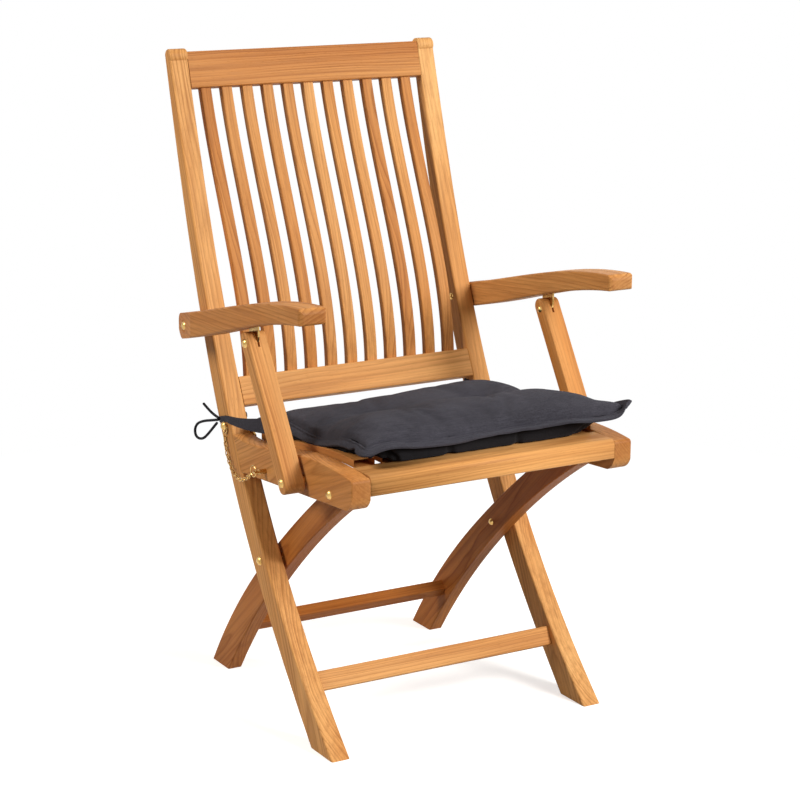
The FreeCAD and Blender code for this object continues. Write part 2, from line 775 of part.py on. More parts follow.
for name, side in SIDES:
    low_x = start_x(side, f"{support_inner}", "Sizes.support_thickness")
    holes = [(foot_pivot, FIXED), (top_pivot, FIXED)]
    bar = board(f"support_{name}_bar", support_outline, "Sizes.support_thickness", low_x, holes, "board_ease")
    kerf = doc.addObject("Part::Box", f"support_{name}_kerf")
    kerf.setExpression("Length", "Sizes.tongue_thickness + 2 * Sizes.face_clearance")
    kerf.setExpression("Width", "2 * Sizes.support_depth")
    kerf.setExpression("Height", "2 * Sizes.kerf_depth")
    doc.recompute()
    turn = FreeCAD.Rotation(Vector(1, 0, 0), kerf_lean)
    middle = turn.multVec(Vector(kerf.Length.Value / 2, kerf.Width.Value / 2, size("kerf_depth")))
    corner = Vector(side * (support_inner + support_outer) / 2, *support_tip) - middle
    kerf.Placement = FreeCAD.Placement(corner, turn)
    support = doc.addObject("Part::Cut", f"support_{name}")
    support.Base = bar
    support.Tool = kerf
    keep(support, f"support_{name}")
    top_bolt = bolt(support_inner, support_outer, side, top_pivot)
    foot_profile = [
        segment((rail_outer + clear, 0), (rail_outer + clear, size("collar_radius"))),
        segment((rail_outer + clear, size("collar_radius")), (support_inner, size("collar_radius"))),
        segment((support_inner, size("collar_radius")), (support_inner, bolt_radius)),
        segment((support_inner, bolt_radius), (support_outer, bolt_radius)),
        segment((support_outer, bolt_radius), (support_outer, size("dome_radius"))),
        cap(support_outer, size("dome_radius"), size("dome_height"), 1),
        segment((support_outer + size("dome_height"), 0), (rail_outer + clear, 0)),
    ]
    foot_bolt = turned(foot_profile, side, foot_pivot)
    plain(f"support_bolts_{name}", Part.makeCompound([top_bolt, foot_bolt]))

# Pivot bolts with their spacers, the same on both sides


def both_sides(label, maker):
    plain(label, Part.makeCompound([maker(side) for _, side in SIDES]))


both_sides("scissor_bolts", lambda side: bolt(leg_inner, post_outer + clear, side, scissor))
both_sides("scissor_spacers", lambda side: collar(leg_outer, span - clear, side, scissor, bolt_radius))
both_sides("seat_bolts", lambda side: bolt(leg_inner - clear, rail_outer, side, seat_pivot))
both_sides("seat_spacers", lambda side: collar(leg_outer + clear, span, side, seat_pivot, bolt_radius))

# Rest of the seat: a notched plate on each post carries a stud on the seat rail

plate_outer = span - clear
plate_inner = plate_outer - size("rest_plate_thickness")


def rest_plate(side):
    half = size("rest_plate_half_width")
    run = (post_bolt[0] - stud[0], post_bolt[1] - stud[1])
    length = math.hypot(*run)
    along = (run[0] / length, run[1] / length)
    across = (-along[1], along[0])
    outline = [
        segment(shifted(stud, across, half), shifted(post_bolt, across, half)),
        arc(shifted(post_bolt, across, half), shifted(post_bolt, along, half), shifted(post_bolt, across, -half)),
        segment(shifted(post_bolt, across, -half), shifted(stud, across, -half)),
        arc(shifted(stud, across, -half), shifted(stud, along, -half), shifted(stud, across, half)),
    ]
    face = Part.Face(Part.Wire([edge.toShape() for edge in outline]))
    face.Placement = FreeCAD.Placement(Vector(plate_inner, 0, 0), FreeCAD.Rotation(Vector(1, 1, 1), 120))
    plate = face.extrude(Vector(plate_outer - plate_inner, 0, 0))
    notch_radius = size("stud_radius") + clear
    notch_up = unit(90 - size("rest_notch_lean"))
    eye = Part.makeCylinder(notch_radius, span, Vector(0, *stud), Vector(1, 0, 0))
    slot = Part.makeBox(span, 2 * notch_radius, 3 * half, Vector(0, -notch_radius, 0))
    slot.Placement = FreeCAD.Placement(
        Vector(0, *stud), FreeCAD.Rotation(Vector(1, 0, 0), -size("rest_notch_lean"))
    ).multiply(slot.Placement)
    hole = Part.makeCylinder(bolt_radius, span, Vector(0, *post_bolt), Vector(1, 0, 0))
    plate = plate.cut(eye).cut(slot).cut(hole)
    if side < 0:
        plate = plate.mirror(Vector(0, 0, 0), Vector(1, 0, 0))
    return plate


def seat_stud(side):
    solid = Part.makeCylinder(
        size("stud_radius"), size("stud_length"), Vector(span - size("stud_length"), *stud), Vector(1, 0, 0)
    )
    if side < 0:
        solid = solid.mirror(Vector(0, 0, 0), Vector(1, 0, 0))
    return solid


both_sides("rest_plates", rest_plate)
both_sides("seat_studs", seat_stud)
post_bolts = [
    bolt(plate_inner, post_outer, -1, post_bolt, size("chain_neck")),
    bolt(plate_inner, post_outer, 1, post_bolt),
]
plain("post_bolts", Part.makeCompound(post_bolts))

# Safety pin through the left seat rail, with a ring through its flattened end


def wire_section(radius, wire):
    """The faceted section of a bent wire that starts at radius on the X axis and leaves along Z."""
    facets = int(size("wire_facets"))
    corners = []
    for index in range(facets + 1):
        across = unit(360 * (index + 0.5) / facets)
        corners.append(Vector(radius + wire * across[0], wire * across[1], 0))
    return Part.makePolygon(corners)


def wire_ring(radius, wire, centre):
    """A closed ring of faceted wire that lies square to X."""
    loop = Part.Wire(
        [
            Part.Arc(Vector(radius, 0, 0), Vector(0, 0, radius), Vector(-radius, 0, 0)).toShape(),
            Part.Arc(Vector(-radius, 0, 0), Vector(0, 0, -radius), Vector(radius, 0, 0)).toShape(),
        ]
    )
    solid = loop.makePipeShell([wire_section(radius, wire)], True, False)
    solid.rotate(Vector(0, 0, 0), Vector(0, 0, 1), 90)
    solid.translate(centre)
    return solid


pin_radius = size("pin_radius")
pin_inner = span - size("pin_stub")
pin_outer = rail_outer + size("pin_reach")
ring_x = pin_outer - size("ring_inset")
flat_length = size("pin_flat_length")
flat = size("pin_flat_thickness")
ring_radius = size("ring_radius")
wire_radius = size("ring_wire_radius")
pin_solid = Part.makeCylinder(pin_radius, pin_outer - pin_inner, Vector(-pin_outer, *pin), Vector(1, 0, 0))
for step in (-1, 1):
    low_z = pin[1] + (flat / 2 if step > 0 else -flat / 2 - pin_radius)
    cheek = Part.makeBox(flat_length, 2 * pin_radius, pin_radius, Vector(-pin_outer, pin[0] - pin_radius, low_z))
    pin_solid = pin_solid.cut(cheek)
ring_hole = Part.makeCylinder(
    wire_radius + clear, 4 * pin_radius, Vector(-ring_x, pin[0], pin[1] - 2 * pin_radius), Vector(0, 0, 1)
)
plain("safety_pin", pin_solid.cut(ring_hole))
ring_centre = (pin[0] + ring_radius, pin[1])
ring_solid = wire_ring(ring_radius, wire_radius, Vector(-ring_x, *ring_centre))
plain("pin_ring", ring_solid)

# Chain from the post bolt's neck to beside the pin's ring

link_wire = size("link_wire_radius")
link_length = size("link_length")
link_width = size("link_width")
eye_radius = size("chain_eye_radius")
eye_x = post_outer + size("chain_neck") / 2
eye_centre = (post_bolt[0], post_bolt[1] - (eye_radius - link_wire - bolt_radius - clear))


def chain_point(t):
    """A point of the hanging chain, t from 0 at the post to 1 at the ring."""
    end_angle = math.radians(-size("chain_end_angle"))
    ring_gap = ring_radius + wire_radius + clear + link_wire
    start = Vector(-eye_x - 2 * clear, eye_centre[0], eye_centre[1] - eye_radius + 3 * link_wire + clear)
    end = Vector(
        -ring_x,
        ring_centre[0] + ring_gap * math.cos(end_angle),
        ring_centre[1] + ring_gap * math.sin(end_angle),
    )
    drop = start + Vector(0, 0, -size("chain_sag"))
    lift = Vector(
        -ring_x + size("chain_belly_lean"),
        pin[0] + size("chain_belly_y"),
        pin[1] - size("chain_belly_drop"),
    )
    return (
        start * (1 - t) ** 3
        + drop * (3 * t * (1 - t) ** 2)
        + lift * (3 * t * t * (1 - t))
        + end * t**3
    )


def chain_link(centre, along, turned_by):
    """One oval link along a direction, turned about it by an angle in degrees."""
    radius = link_width / 2 - link_wire
    half = link_length / 2 - link_wire - radius
    wire = Part.Wire(
        [
            Part.LineSegment(Vector(radius, 0, -half), Vector(radius, 0, half)).toShape(),
            Part.Arc(Vector(radius, 0, half), Vector(0, 0, half + radius), Vector(-radius, 0, half)).toShape(),
            Part.LineSegment(Vector(-radius, 0, half), Vector(-radius, 0, -half)).toShape(),
            Part.Arc(Vector(-radius, 0, -half), Vector(0, 0, -half - radius), Vector(radius, 0, -half)).toShape(),
        ]
    )
    solid = wire.makePipeShell([wire_section(radius, link_wire)], True, False)
    spin = FreeCAD.Rotation(Vector(0, 0, 1), turned_by)
    solid.Placement = FreeCAD.Placement(centre, FreeCAD.Rotation(Vector(0, 0, 1), along).multiply(spin))
    return solid


def chain_stations(step):
    """Centres along the chain at an even pitch close to step, by walking the curve."""
    count = 400
    samples = [chain_point(i / count) for i in range(count + 1)]
    lengths = [0.0]
    for a, b in zip(samples, samples[1:]):
        lengths.append(lengths[-1] + (b - a).Length)
    usable = lengths[-1] - link_length
    links = round(usable / step) + 1
    places = []
    for number in range(links):
        wanted = link_length / 2 + usable * number / (links - 1)
        index = next(i for i, length in enumerate(lengths) if length >= wanted)
        places.append((samples[index], (samples[min(index + 2, count)] - samples[index - 2]).normalize()))
    return places


link_pitch = link_length - 4 * link_wire - size("link_slack")
chain = [wire_ring(eye_radius, link_wire, Vector(-eye_x, *eye_centre))]
for number, (centre, along) in enumerate(chain_stations(link_pitch)):
    chain.append(chain_link(centre, along, 45 + 90 * (number % 2)))
plain("chain", Part.makeCompound(chain))

# Seat cushion: a flat sewn hem round a crowned body with drawn-in sides and sewn tufts


def drawn_in_plan(half_x, half_y, draw_in, low_z, height):
    """A rectangle in plan whose sides curve inwards, padded from low_z."""
    corners = [(-half_x, -half_y), (half_x, -half_y), (half_x, half_y), (-half_x, half_y)]
    middles = [(0, -half_y + draw_in), (half_x - draw_in, 0), (0, half_y - draw_in), (-half_x + draw_in, 0)]
    edges = []
    for index in range(4):
        edges.append(arc(corners[index], middles[index], corners[(index + 1) % 4]).toShape())
    face = Part.Face(Part.Wire(edges))
    face.translate(Vector(0, 0, low_z))
    return face.extrude(Vector(0, 0, height))


def crown_profile(half, shoulder, crown, belly):
    """A section of the stuffed body: rounded shoulders, a shallow crown above and a belly below."""
    high = crown * 0.8
    reach = shoulder * 0.22
    rise = 0.62
    return [
        segment((-half + shoulder, -belly), (half - shoulder, -belly)),
        arc((half - shoulder, -belly), (half - reach, -belly * rise), (half, 0)),
        arc((half, 0), (half - reach, high * rise), (half - shoulder, high)),
        arc((half - shoulder, high), (0, crown), (-half + shoulder, high)),
        arc((-half + shoulder, high), (-half + reach, high * rise), (-half, 0)),
        arc((-half, 0), (-half + reach, -belly * rise), (-half + shoulder, -belly)),
    ]


def seat_block(half_x):
    """Everything below the seat slats' tops, with a clearance, to cut the cushion's underside to."""
    low_z, beyond = seat_slat_bottom.EndPoint.y, size("cushion_rear") - size("seat_slat_rear")
    tops = [(y, z + clear) for y, z in slat_tops]
    tops.insert(0, (tops[0][0] - beyond, tops[0][1]))
    tops.append((tops[-1][0] + beyond, tops[-1][1]))
    outline = [segment(a, b) for a, b in zip(tops[:2], tops[1:2])]
    outline += [spline(tops[1:-1]), segment(tops[-2], tops[-1])]
    outline += [segment(tops[-1], (tops[-1][0], low_z)), segment((tops[-1][0], low_z), (tops[0][0], low_z))]
    outline.append(segment((tops[0][0], low_z), tops[0]))
    face = Part.Face(Part.Wire([edge.toShape() for edge in outline]))
    face.Placement = FreeCAD.Placement(Vector(-half_x, 0, 0), FreeCAD.Rotation(Vector(1, 1, 1), 120))
    return face.extrude(Vector(2 * half_x, 0, 0))


def cushion_shape():
    front, rear = size("cushion_front"), size("cushion_rear")
    rise = size("cushion_hem_rear_z") - size("cushion_hem_front_z")
    half_x = size("cushion_half_width")
    half_y = math.hypot(rear - front, rise) / 2
    hem, hem_thickness = size("cushion_hem"), size("cushion_hem_thickness")
    crown, belly = size("cushion_crown"), size("cushion_belly")
    draw_in, shoulder = size("cushion_draw_in"), size("cushion_shoulder")
    body_x, body_y = half_x - hem, half_y - hem
    overhang = size("cushion_overhang")
    across = crown_profile(body_x + overhang, shoulder, crown, belly)
    across = Part.Face(Part.Wire([edge.toShape() for edge in across]))
    across.rotate(Vector(0, 0, 0), Vector(1, 0, 0), 90)
    across.translate(Vector(0, half_y, 0))
    across = across.extrude(Vector(0, -2 * half_y, 0))
    along = crown_profile(body_y + overhang, shoulder, crown, belly)
    along = Part.Face(Part.Wire([edge.toShape() for edge in along]))
    along.Placement = FreeCAD.Placement(Vector(-half_x, 0, 0), FreeCAD.Rotation(Vector(1, 1, 1), 120))
    along = along.extrude(Vector(2 * half_x, 0, 0))
    body = across.common(along).common(drawn_in_plan(body_x, body_y, draw_in, -crown, 3 * crown))
    flange = drawn_in_plan(half_x, half_y, draw_in, -hem_thickness / 2, hem_thickness)
    solid = body.fuse(flange)
    ball = size("tuft_ball")
    for side in (-1, 1):
        place = Vector(side * size("tuft_spacing") / 2, 0, crown + ball - size("tuft_depth"))
        solid = solid.cut(Part.makeSphere(ball, place, Vector(0, 0, -1)))
    tilt = math.degrees(math.atan2(rise, rear - front))
    solid.rotate(Vector(0, 0, 0), Vector(1, 0, 0), tilt)
    middle_z = (size("cushion_hem_front_z") + size("cushion_hem_rear_z")) / 2
    solid.translate(Vector(0, (front + rear) / 2, middle_z))
    return solid.cut(seat_block(half_x))


plain("cushion", cushion_shape())

# Ties: a strap round each post and the limp cord of the bow behind the left one


def strap(side):
    low, high = size("strap_low"), size("strap_high")
    thick = size("strap_thickness")
    corners = [
        (y_at(post_front, low) - thick, low),
        (y_at(post_front, high) - thick, high),
        (y_at(post_rear, high) + thick, high),
        (y_at(post_rear, low) + thick, low),
    ]
    edges = [segment(corners[i], corners[(i + 1) % 4]).toShape() for i in range(4)]
    face = Part.Face(Part.Wire(edges))
    face.Placement = FreeCAD.Placement(Vector(span - thick, 0, 0), FreeCAD.Rotation(Vector(1, 1, 1), 120))
    band = face.extrude(Vector(post_outer - span + 2 * thick, 0, 0))
    core = Part.Face(Part.Wire(Part.__sortEdges__([edge.toShape() for edge in post_outline])))
    core.Placement = FreeCAD.Placement(Vector(span, 0, 0), FreeCAD.Rotation(Vector(1, 1, 1), 120))
    band = band.cut(core.extrude(Vector(post_outer - span, 0, 0)))
    if side < 0:
        band = band.mirror(Vector(0, 0, 0), Vector(1, 0, 0))
    return band


def cord(label, route):
    """A limp cord as a tube of straight runs joined by the largest tangent arcs that fit."""
    stops = [Vector(*point) for point in route]
    edges = []
    here = stops[0]
    radii = []
    for before, corner, after in zip(stops, stops[1:], stops[2:]):
        run_in, run_out = corner - before, after - corner
        turn = run_in.getAngle(run_out)
        reach = 0.45 * min(run_in.Length, run_out.Length)
        radii.append(reach / math.tan(turn / 2))
        first = corner - run_in.normalize() * reach
        last = corner + run_out.normalize() * reach
        towards = ((first + last) / 2 - corner).normalize()
        middle = corner + towards * (radii[-1] / math.cos(turn / 2) - radii[-1])
        edges.append(Part.LineSegment(here, first).toShape())
        edges.append(Part.Arc(first, middle, last).toShape())
        here = last
    edges.append(Part.LineSegment(here, stops[-1]).toShape())
    path = Part.Wire(edges)
    start = (stops[1] - stops[0]).normalize()
    radius = size("cord_radius")
    section = Part.Wire([Part.Circle(stops[0], start, radius).toShape()])
    tube = path.makePipeShell([section], True, False)
    expected = math.pi * radius**2 * path.Length
    print(label, "arc radii", [round(r, 1) for r in radii], "volume share", round(tube.Volume / expected, 4))
    plain(label, tube)


plain("tie_strap_left", strap(-1))
plain("tie_strap_right", strap(1))
knot_x = post_outer + size("strap_thickness") + size("cord_radius") + clear
TIE_LOOP = [
    (-knot_x, 128, 463),
    (-knot_x - 1, 146, 462),
    (-knot_x - 5, 170, 456),
    (-knot_x - 7, 190, 445),
    (-knot_x - 8, 198, 429),
    (-knot_x - 7, 190, 416),
    (-knot_x - 6, 174, 418),
    (-knot_x - 4, 158, 431),
    (-knot_x - 2, 143, 446),
    (-knot_x - 1, 132, 456),
]
TIE_END = [(-knot_x, 120, 469.5), (-knot_x - 3, 133, 470.5), (-knot_x - 6, 149, 476), (-knot_x - 8, 166, 484)]
cord("tie_loop_left", TIE_LOOP)
cord("tie_end_left", TIE_END)

# Checks before anything is written

doc.recompute()
for item in doc.Objects:
    if "Invalid" in item.State or "Error" in item.State:
        raise RuntimeError(f"{item.Name} failed: {item.State}")
for item in parts:
    if item.Shape.isNull() or not item.Shape.isValid() or not item.Shape.Solids:
        raise RuntimeError(f"{item.Label} has no valid solid")
for item in parts:
    item.Shape.exportStep(f"parts/{item.Label}.step")
print(len(parts), "nodes", sum(len(item.Shape.Solids) for item in parts), "solids")
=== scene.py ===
import math
import random

import bpy
import bmesh
from mathutils import Matrix, Vector, noise


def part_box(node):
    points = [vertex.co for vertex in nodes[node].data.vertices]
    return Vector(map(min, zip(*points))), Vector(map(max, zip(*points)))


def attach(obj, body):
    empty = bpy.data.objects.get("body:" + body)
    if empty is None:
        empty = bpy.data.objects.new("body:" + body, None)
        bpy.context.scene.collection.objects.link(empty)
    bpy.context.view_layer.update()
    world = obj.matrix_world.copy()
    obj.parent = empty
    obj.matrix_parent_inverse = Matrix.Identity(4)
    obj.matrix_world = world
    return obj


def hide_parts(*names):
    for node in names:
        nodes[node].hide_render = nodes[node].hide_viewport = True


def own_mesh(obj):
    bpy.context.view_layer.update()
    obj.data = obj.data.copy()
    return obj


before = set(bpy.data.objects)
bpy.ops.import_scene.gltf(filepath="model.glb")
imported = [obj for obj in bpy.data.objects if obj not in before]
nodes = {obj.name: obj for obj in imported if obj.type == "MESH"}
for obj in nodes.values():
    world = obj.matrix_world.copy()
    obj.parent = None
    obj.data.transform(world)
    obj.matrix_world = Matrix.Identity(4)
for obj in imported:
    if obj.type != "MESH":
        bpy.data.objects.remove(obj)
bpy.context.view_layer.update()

scene = bpy.context.scene
scene.view_settings.view_transform = "Standard"


# Camera at the photograph's angle

back = Vector((-0.4847, -0.8413, 0.2393)).normalized()
level_right = (-back).cross(Vector((0, 0, 1))).normalized()
level_up = back.cross(level_right)
roll = math.radians(0.1365)
right = math.cos(roll) * level_right + math.sin(roll) * level_up
up = math.cos(roll) * level_up - math.sin(roll) * level_right
camera_data = bpy.data.cameras.new("camera")
camera_data.sensor_width = 36.0
camera_data.lens = 100.75
camera_data.clip_end = 60.0
camera = bpy.data.objects.new("camera", camera_data)
scene.collection.objects.link(camera)
camera.matrix_world = Matrix.LocRotScale(
    Vector((-1.753, -3.0675, 1.3582)), Matrix((right, up, back)).transposed(), Vector((1, 1, 1))
)
scene.camera = camera


# Colour and node helpers


def linear(red, green, blue):
    """An 8-bit display colour as a linear RGBA colour."""
    channels = [c / 255 for c in (red, green, blue)]
    return tuple(c / 12.92 if c <= 0.04045 else ((c + 0.055) / 1.055) ** 2.4 for c in channels) + (1.0,)


class Tree:
    """A thin wrapper that adds nodes to a node tree and links them in one call."""

    def __init__(self, tree):
        self.tree = tree

    def put(self, socket, value):
        if isinstance(value, bpy.types.NodeSocket):
            self.tree.links.new(value, socket)
        else:
            socket.default_value = value

    def add(self, kind, inputs=(), **settings):
        node = self.tree.nodes.new(kind)
        for name, value in settings.items():
            setattr(node, name, value)
        for key, value in dict(inputs).items():
            self.put(node.inputs[key], value)
        return node

    def math(self, operation, *values):
        node = self.add("ShaderNodeMath", operation=operation)
        for socket, value in zip(node.inputs, values):
            self.put(socket, value)
        return node.outputs[0]

    def vector(self, operation, *values):
        node = self.add("ShaderNodeVectorMath", operation=operation)
        for socket, value in zip(node.inputs, values):
            self.put(socket, value)
        return node.outputs["Value"] if operation in ("LENGTH", "DOT_PRODUCT") else node.outputs[0]

    def noise(self, vector, detail=2.0, roughness=0.5, scale=1.0):
        inputs = {"Vector": vector, "Scale": scale, "Detail": detail, "Roughness": roughness}
        return self.add("ShaderNodeTexNoise", inputs)

    def ramp(self, value, *stops):
        """A colour ramp through (position, grey or colour) stops."""
        node = self.add("ShaderNodeValToRGB", {"Fac": value})
        elements = node.color_ramp.elements
        while len(elements) < len(stops):
            elements.new(0.5)
        for element, (position, colour) in zip(elements, stops):
            element.position = position
            element.color = colour if isinstance(colour, tuple) else (colour, colour, colour, 1)
        return node.outputs["Color"]

    def mix(self, factor, first, second, blend="MIX"):
        node = self.add("ShaderNodeMix", data_type="RGBA", blend_type=blend)
        for socket, value in zip((node.inputs[0], node.inputs[6], node.inputs[7]), (factor, first, second)):
            self.put(socket, value)
        return node.outputs[2]

    def map_range(self, value, low, high, to_low, to_high):
        inputs = {"Value": value, "From Min": low, "From Max": high, "To Min": to_low, "To Max": to_high}
        return self.add("ShaderNodeMapRange", inputs).outputs[0]


def empty_tree(owner):
    """The emptied node tree of a material or a world."""
    owner.use_nodes = True
    owner.node_tree.nodes.clear()
    return Tree(owner.node_tree)


def new_material(name):
    """A material with one principled shader."""
    material = bpy.data.materials.new(name)
    tree = empty_tree(material)
    shader = tree.add("ShaderNodeBsdfPrincipled")
    tree.add("ShaderNodeOutputMaterial", {"Surface": shader.outputs["BSDF"]})
    return material, tree, shader


# Teak: one node group that draws rings, fibres and pores in a board's own directions

PALE_TEAK, GOLDEN_TEAK = linear(240, 186, 119), linear(213, 147, 79)
RING_BROWN, STREAK_BROWN, PORE_BROWN = linear(150, 88, 40), linear(150, 92, 46), linear(112, 66, 30)
END_GRAIN_BROWN = linear(150, 95, 50)
# The reddish dark multiplier is a real board tone, and also painted shade on the rear legs and rear
# stretcher
RED_TONE_AND_SHADE = (0.62, 0.42, 0.25, 1.0)
RINGS_A_METRE, UNEVEN_RINGS = 200.0, 2.6
TEAK_GLOSS = 0.14


def teak_group():
    group = bpy.data.node_groups.new("teak_grain", "ShaderNodeTree")
    face = group.interface
    for name, kind in (("Grain", "Vector"), ("Along", "Vector"), ("Tone", "Float")):
        face.new_socket(name, in_out="INPUT", socket_type=f"NodeSocket{kind}")
    for name, kind in (("Color", "Color"), ("Roughness", "Float"), ("Normal", "Vector")):
        face.new_socket(name, in_out="OUTPUT", socket_type=f"NodeSocket{kind}")
    tree = Tree(group)
    source = group.nodes.new("NodeGroupInput")
    grain, along, tone = source.outputs[:3]

    def stretched(x, y):
        """Coordinates for a noise with x waves a metre along the grain and y across it."""
        return tree.vector("MULTIPLY", grain, (x, y, y))

    def wander(x, y, reach):
        """A sideways shift of the fibres, up to half of reach in metres."""
        cloud = tree.noise(stretched(x, y), 2.0).outputs["Color"]
        return tree.vector("MULTIPLY", tree.vector("SUBTRACT", cloud, (0.5, 0.5, 0.5)), (0, reach, reach))

    # The board's fibres wander a little around the straight grain
    drift = wander(1.6, 7.0, 0.034)
    ripple = wander(9.0, 40.0, 0.0035)
    bent = tree.vector("ADD", tree.vector("ADD", grain, drift), ripple)

    # Growth rings around the pith line, of uneven width and strength
    radius = tree.vector("LENGTH", tree.vector("MULTIPLY", bent, (0, 1, 1)))
    years = tree.add("ShaderNodeCombineXYZ", {"X": tree.math("MULTIPLY", radius, 95.0)}).outputs[0]
    uneven = tree.math("MULTIPLY", tree.noise(years, 1.0).outputs["Fac"], UNEVEN_RINGS)
    count = tree.math("ADD", tree.math("MULTIPLY", radius, RINGS_A_METRE), uneven)
    ring = tree.math("FRACT", count)
    ring = tree.ramp(ring, (0.0, 0.35), (0.12, 0.04), (0.5, 0.14), (0.82, 0.6), (0.93, 1.0), (1.0, 0.35))
    strength = tree.ramp(tree.noise(stretched(2.2, 26.0), 2.0).outputs["Fac"], (0.3, 0.22), (0.68, 1.0))
    ring = tree.math("MULTIPLY", ring, strength)

    broad = tree.ramp(tree.noise(stretched(1.3, 15.0), 3.0).outputs["Fac"], (0.3, 0.0), (0.7, 1.0))
    streak = tree.ramp(tree.noise(stretched(3.2, 170.0), 4.0, 0.6).outputs["Fac"], (0.42, 0.0), (0.74, 1.0))
    fibre = tree.noise(stretched(26.0, 900.0), 2.0).outputs["Fac"]
    pores = tree.ramp(tree.noise(stretched(110.0, 1500.0), 1.0).outputs["Fac"], (0.66, 0.0), (0.74, 1.0))

    colour = tree.mix(broad, PALE_TEAK, GOLDEN_TEAK)
    stains = ((ring, 0.74, RING_BROWN), (streak, 0.46, STREAK_BROWN), (pores, 0.28, PORE_BROWN))
    for mask, amount, stain in stains:
        colour = tree.mix(tree.math("MULTIPLY", mask, amount), colour, stain)
    shade = tree.map_range(fibre, 0.25, 0.75, 0.93, 1.06)
    colour = tree.mix(1.0, colour, shade, "MULTIPLY")

    # End grain drinks more oil, so it is darker
    facing = tree.math("ABSOLUTE", tree.vector("DOT_PRODUCT", along, (1, 0, 0)))
    ends = tree.map_range(facing, 0.62, 0.97, 0.0, 0.5)
    colour = tree.mix(ends, colour, END_GRAIN_BROWN)

    # The tone input darkens the board towards a reddish dark brown: a real tone on most boards, painted
    # shade on the rear legs and rear stretcher
    warm = tree.mix(1.0, colour, RED_TONE_AND_SHADE, "MULTIPLY")
    colour = tree.mix(tone, colour, warm)

    rough = tree.math("ADD", tree.map_range(fibre, 0.2, 0.8, 0.46, 0.58), tree.math("MULTIPLY", ring, 0.08))
    height = tree.math("SUBTRACT", tree.math("MULTIPLY", fibre, 0.5), tree.math("MULTIPLY", pores, 0.7))
    bump = tree.add("ShaderNodeBump", {"Strength": 0.35, "Distance": 0.0004, "Height": height})
    sink = group.nodes.new("NodeGroupOutput")
    for socket, value in zip(sink.inputs, (colour, rough, bump.outputs["Normal"])):
        group.links.new(value, socket)
    return group


TEAK = teak_group()


def board_axes(axis):
    """A board's three directions: along its grain and two across it."""
    along = Vector(axis).normalized()
    side = along.cross(Vector((1, 0, 0)) if abs(along.x) < 0.9 else Vector((0, 0, 1))).normalized()
    return along, side, along.cross(side)


def teak(name, axis, pith, tone):
    """A teak material whose grain runs along axis and whose pith line lies at the offset pith."""
    material, tree, shader = new_material(name)
    turn = Matrix(board_axes(axis)).to_euler("XYZ")
    place = tree.add("ShaderNodeTexCoord")
    mapping = {"Vector": place.outputs["Object"], "Rotation": turn, "Location": pith}
    grain = tree.add("ShaderNodeMapping", mapping)
    mapping = {"Vector": place.outputs["Normal"], "Rotation": turn}
    facing = tree.add("ShaderNodeMapping", mapping, vector_type="NORMAL")
    inputs = {"Grain": grain.outputs[0], "Along": facing.outputs[0], "Tone": tone}
    wood = tree.add("ShaderNodeGroup", node_tree=TEAK)
    for key, value in inputs.items():
        tree.put(wood.inputs[key], value)
    for key, output in (("Base Color", "Color"), ("Roughness", "Roughness"), ("Normal", "Normal")):
        tree.put(shader.inputs[key], wood.outputs[output])
    shader.inputs["Specular IOR Level"].default_value = TEAK_GLOSS
    return material


def paint(name, material):
    slots = nodes[name].data.materials
    slots.clear()
    slots.append(material)


# Each board's grain direction in (x, y, z) and its tone, 0 pale to 1 reddish dark; the rear legs' and rear
# stretcher's dark tones are painted shade
POST = (0.02, 0.385, 0.92)
boards = {
    "post_left": (POST, 0.09),
    "post_right": (POST, 0.04),
    "top_rail": ((1, 0, 0.01), 0.72),
    "bottom_rail": ((1, 0, 0.02), 0.23),
    "front_stretcher": ((1, 0, 0), 0.08),
    # painted shade: the rear stretcher and both rear legs are darkened for the shadow under the seat
    "rear_stretcher": ((1, 0, 0.01), 1.00),
    "rear_leg_left": ((0, 0.76, -0.65), 0.90),
    "rear_leg_right": ((0, 0.74, -0.67), 0.98),
    "seat_rail_left": ((0.03, 1, -0.42), 0.47),
    "seat_rail_right": ((0, 1, -0.42), 0.47),
    "front_rail": ((1, 0, 0), 0.12),
    "slat_batten": ((1, 0, 0), 0.35),
    "rear_rail": ((1, 0, 0), 0.35),
    "arm_left": ((0.05, -0.98, 0.06), 0.51),
    "arm_right": ((0.04, -0.97, 0.10), 0.31),
    "support_left": ((0, 0.52, 0.85), 0.17),
    "support_right": ((0, 0.52, 0.85), 0.14),
}
back_slat_tones = (0.48, 0.42, 0.26, 0.34, 0.50, 0.22, 0.16, 0.28, 0.52, 0.20, 0.46)
for number, tone in enumerate(back_slat_tones, 1):
    boards[f"back_slat_{number:02d}"] = ((0.015 * (-1) ** number, 0.34, 0.94), tone)
for number in range(1, 10):
    boards[f"seat_slat_{number}"] = ((0, 1, -0.06), 0.35 + 0.1 * (number % 3))

# The pith lies at a drawn distance and angle beside each board, nearer for slats, and far off for the arms
pick = random.Random(11)
for name, (axis, tone) in boards.items():
    reach, angle = pick.uniform(0.03, 0.10), pick.uniform(-0.9, 0.9)
    if "slat_" in name:
        reach, angle = pick.uniform(0.012, 0.045), pick.uniform(-0.5, 0.5)
    if "arm_" in name:
        reach, angle = 0.11, 1.1
    low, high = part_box(name)
    middle = (low + high) / 2
    shift = (pick.uniform(-3, 3), reach * math.sin(angle), reach * math.cos(angle))
    pith = Vector([far - way.dot(middle) for far, way in zip(shift, board_axes(axis))])
    paint(name, teak(f"teak_{name}", axis, pith, tone))


# Seat front: the photograph shows a wide front rail, and slats that end behind it

RAIL_FRONT, RAIL_REAR, RAIL_LOW, RAIL_HIGH = -0.3175, -0.2600, 0.4350, 0.4660
RAIL_TOP_ROUND, RAIL_LOW_ROUND, RAIL_EASE = 0.010, 0.003, 0.0015
SLATS_FROM = -0.2570
SLATS_SPREAD = 1.12


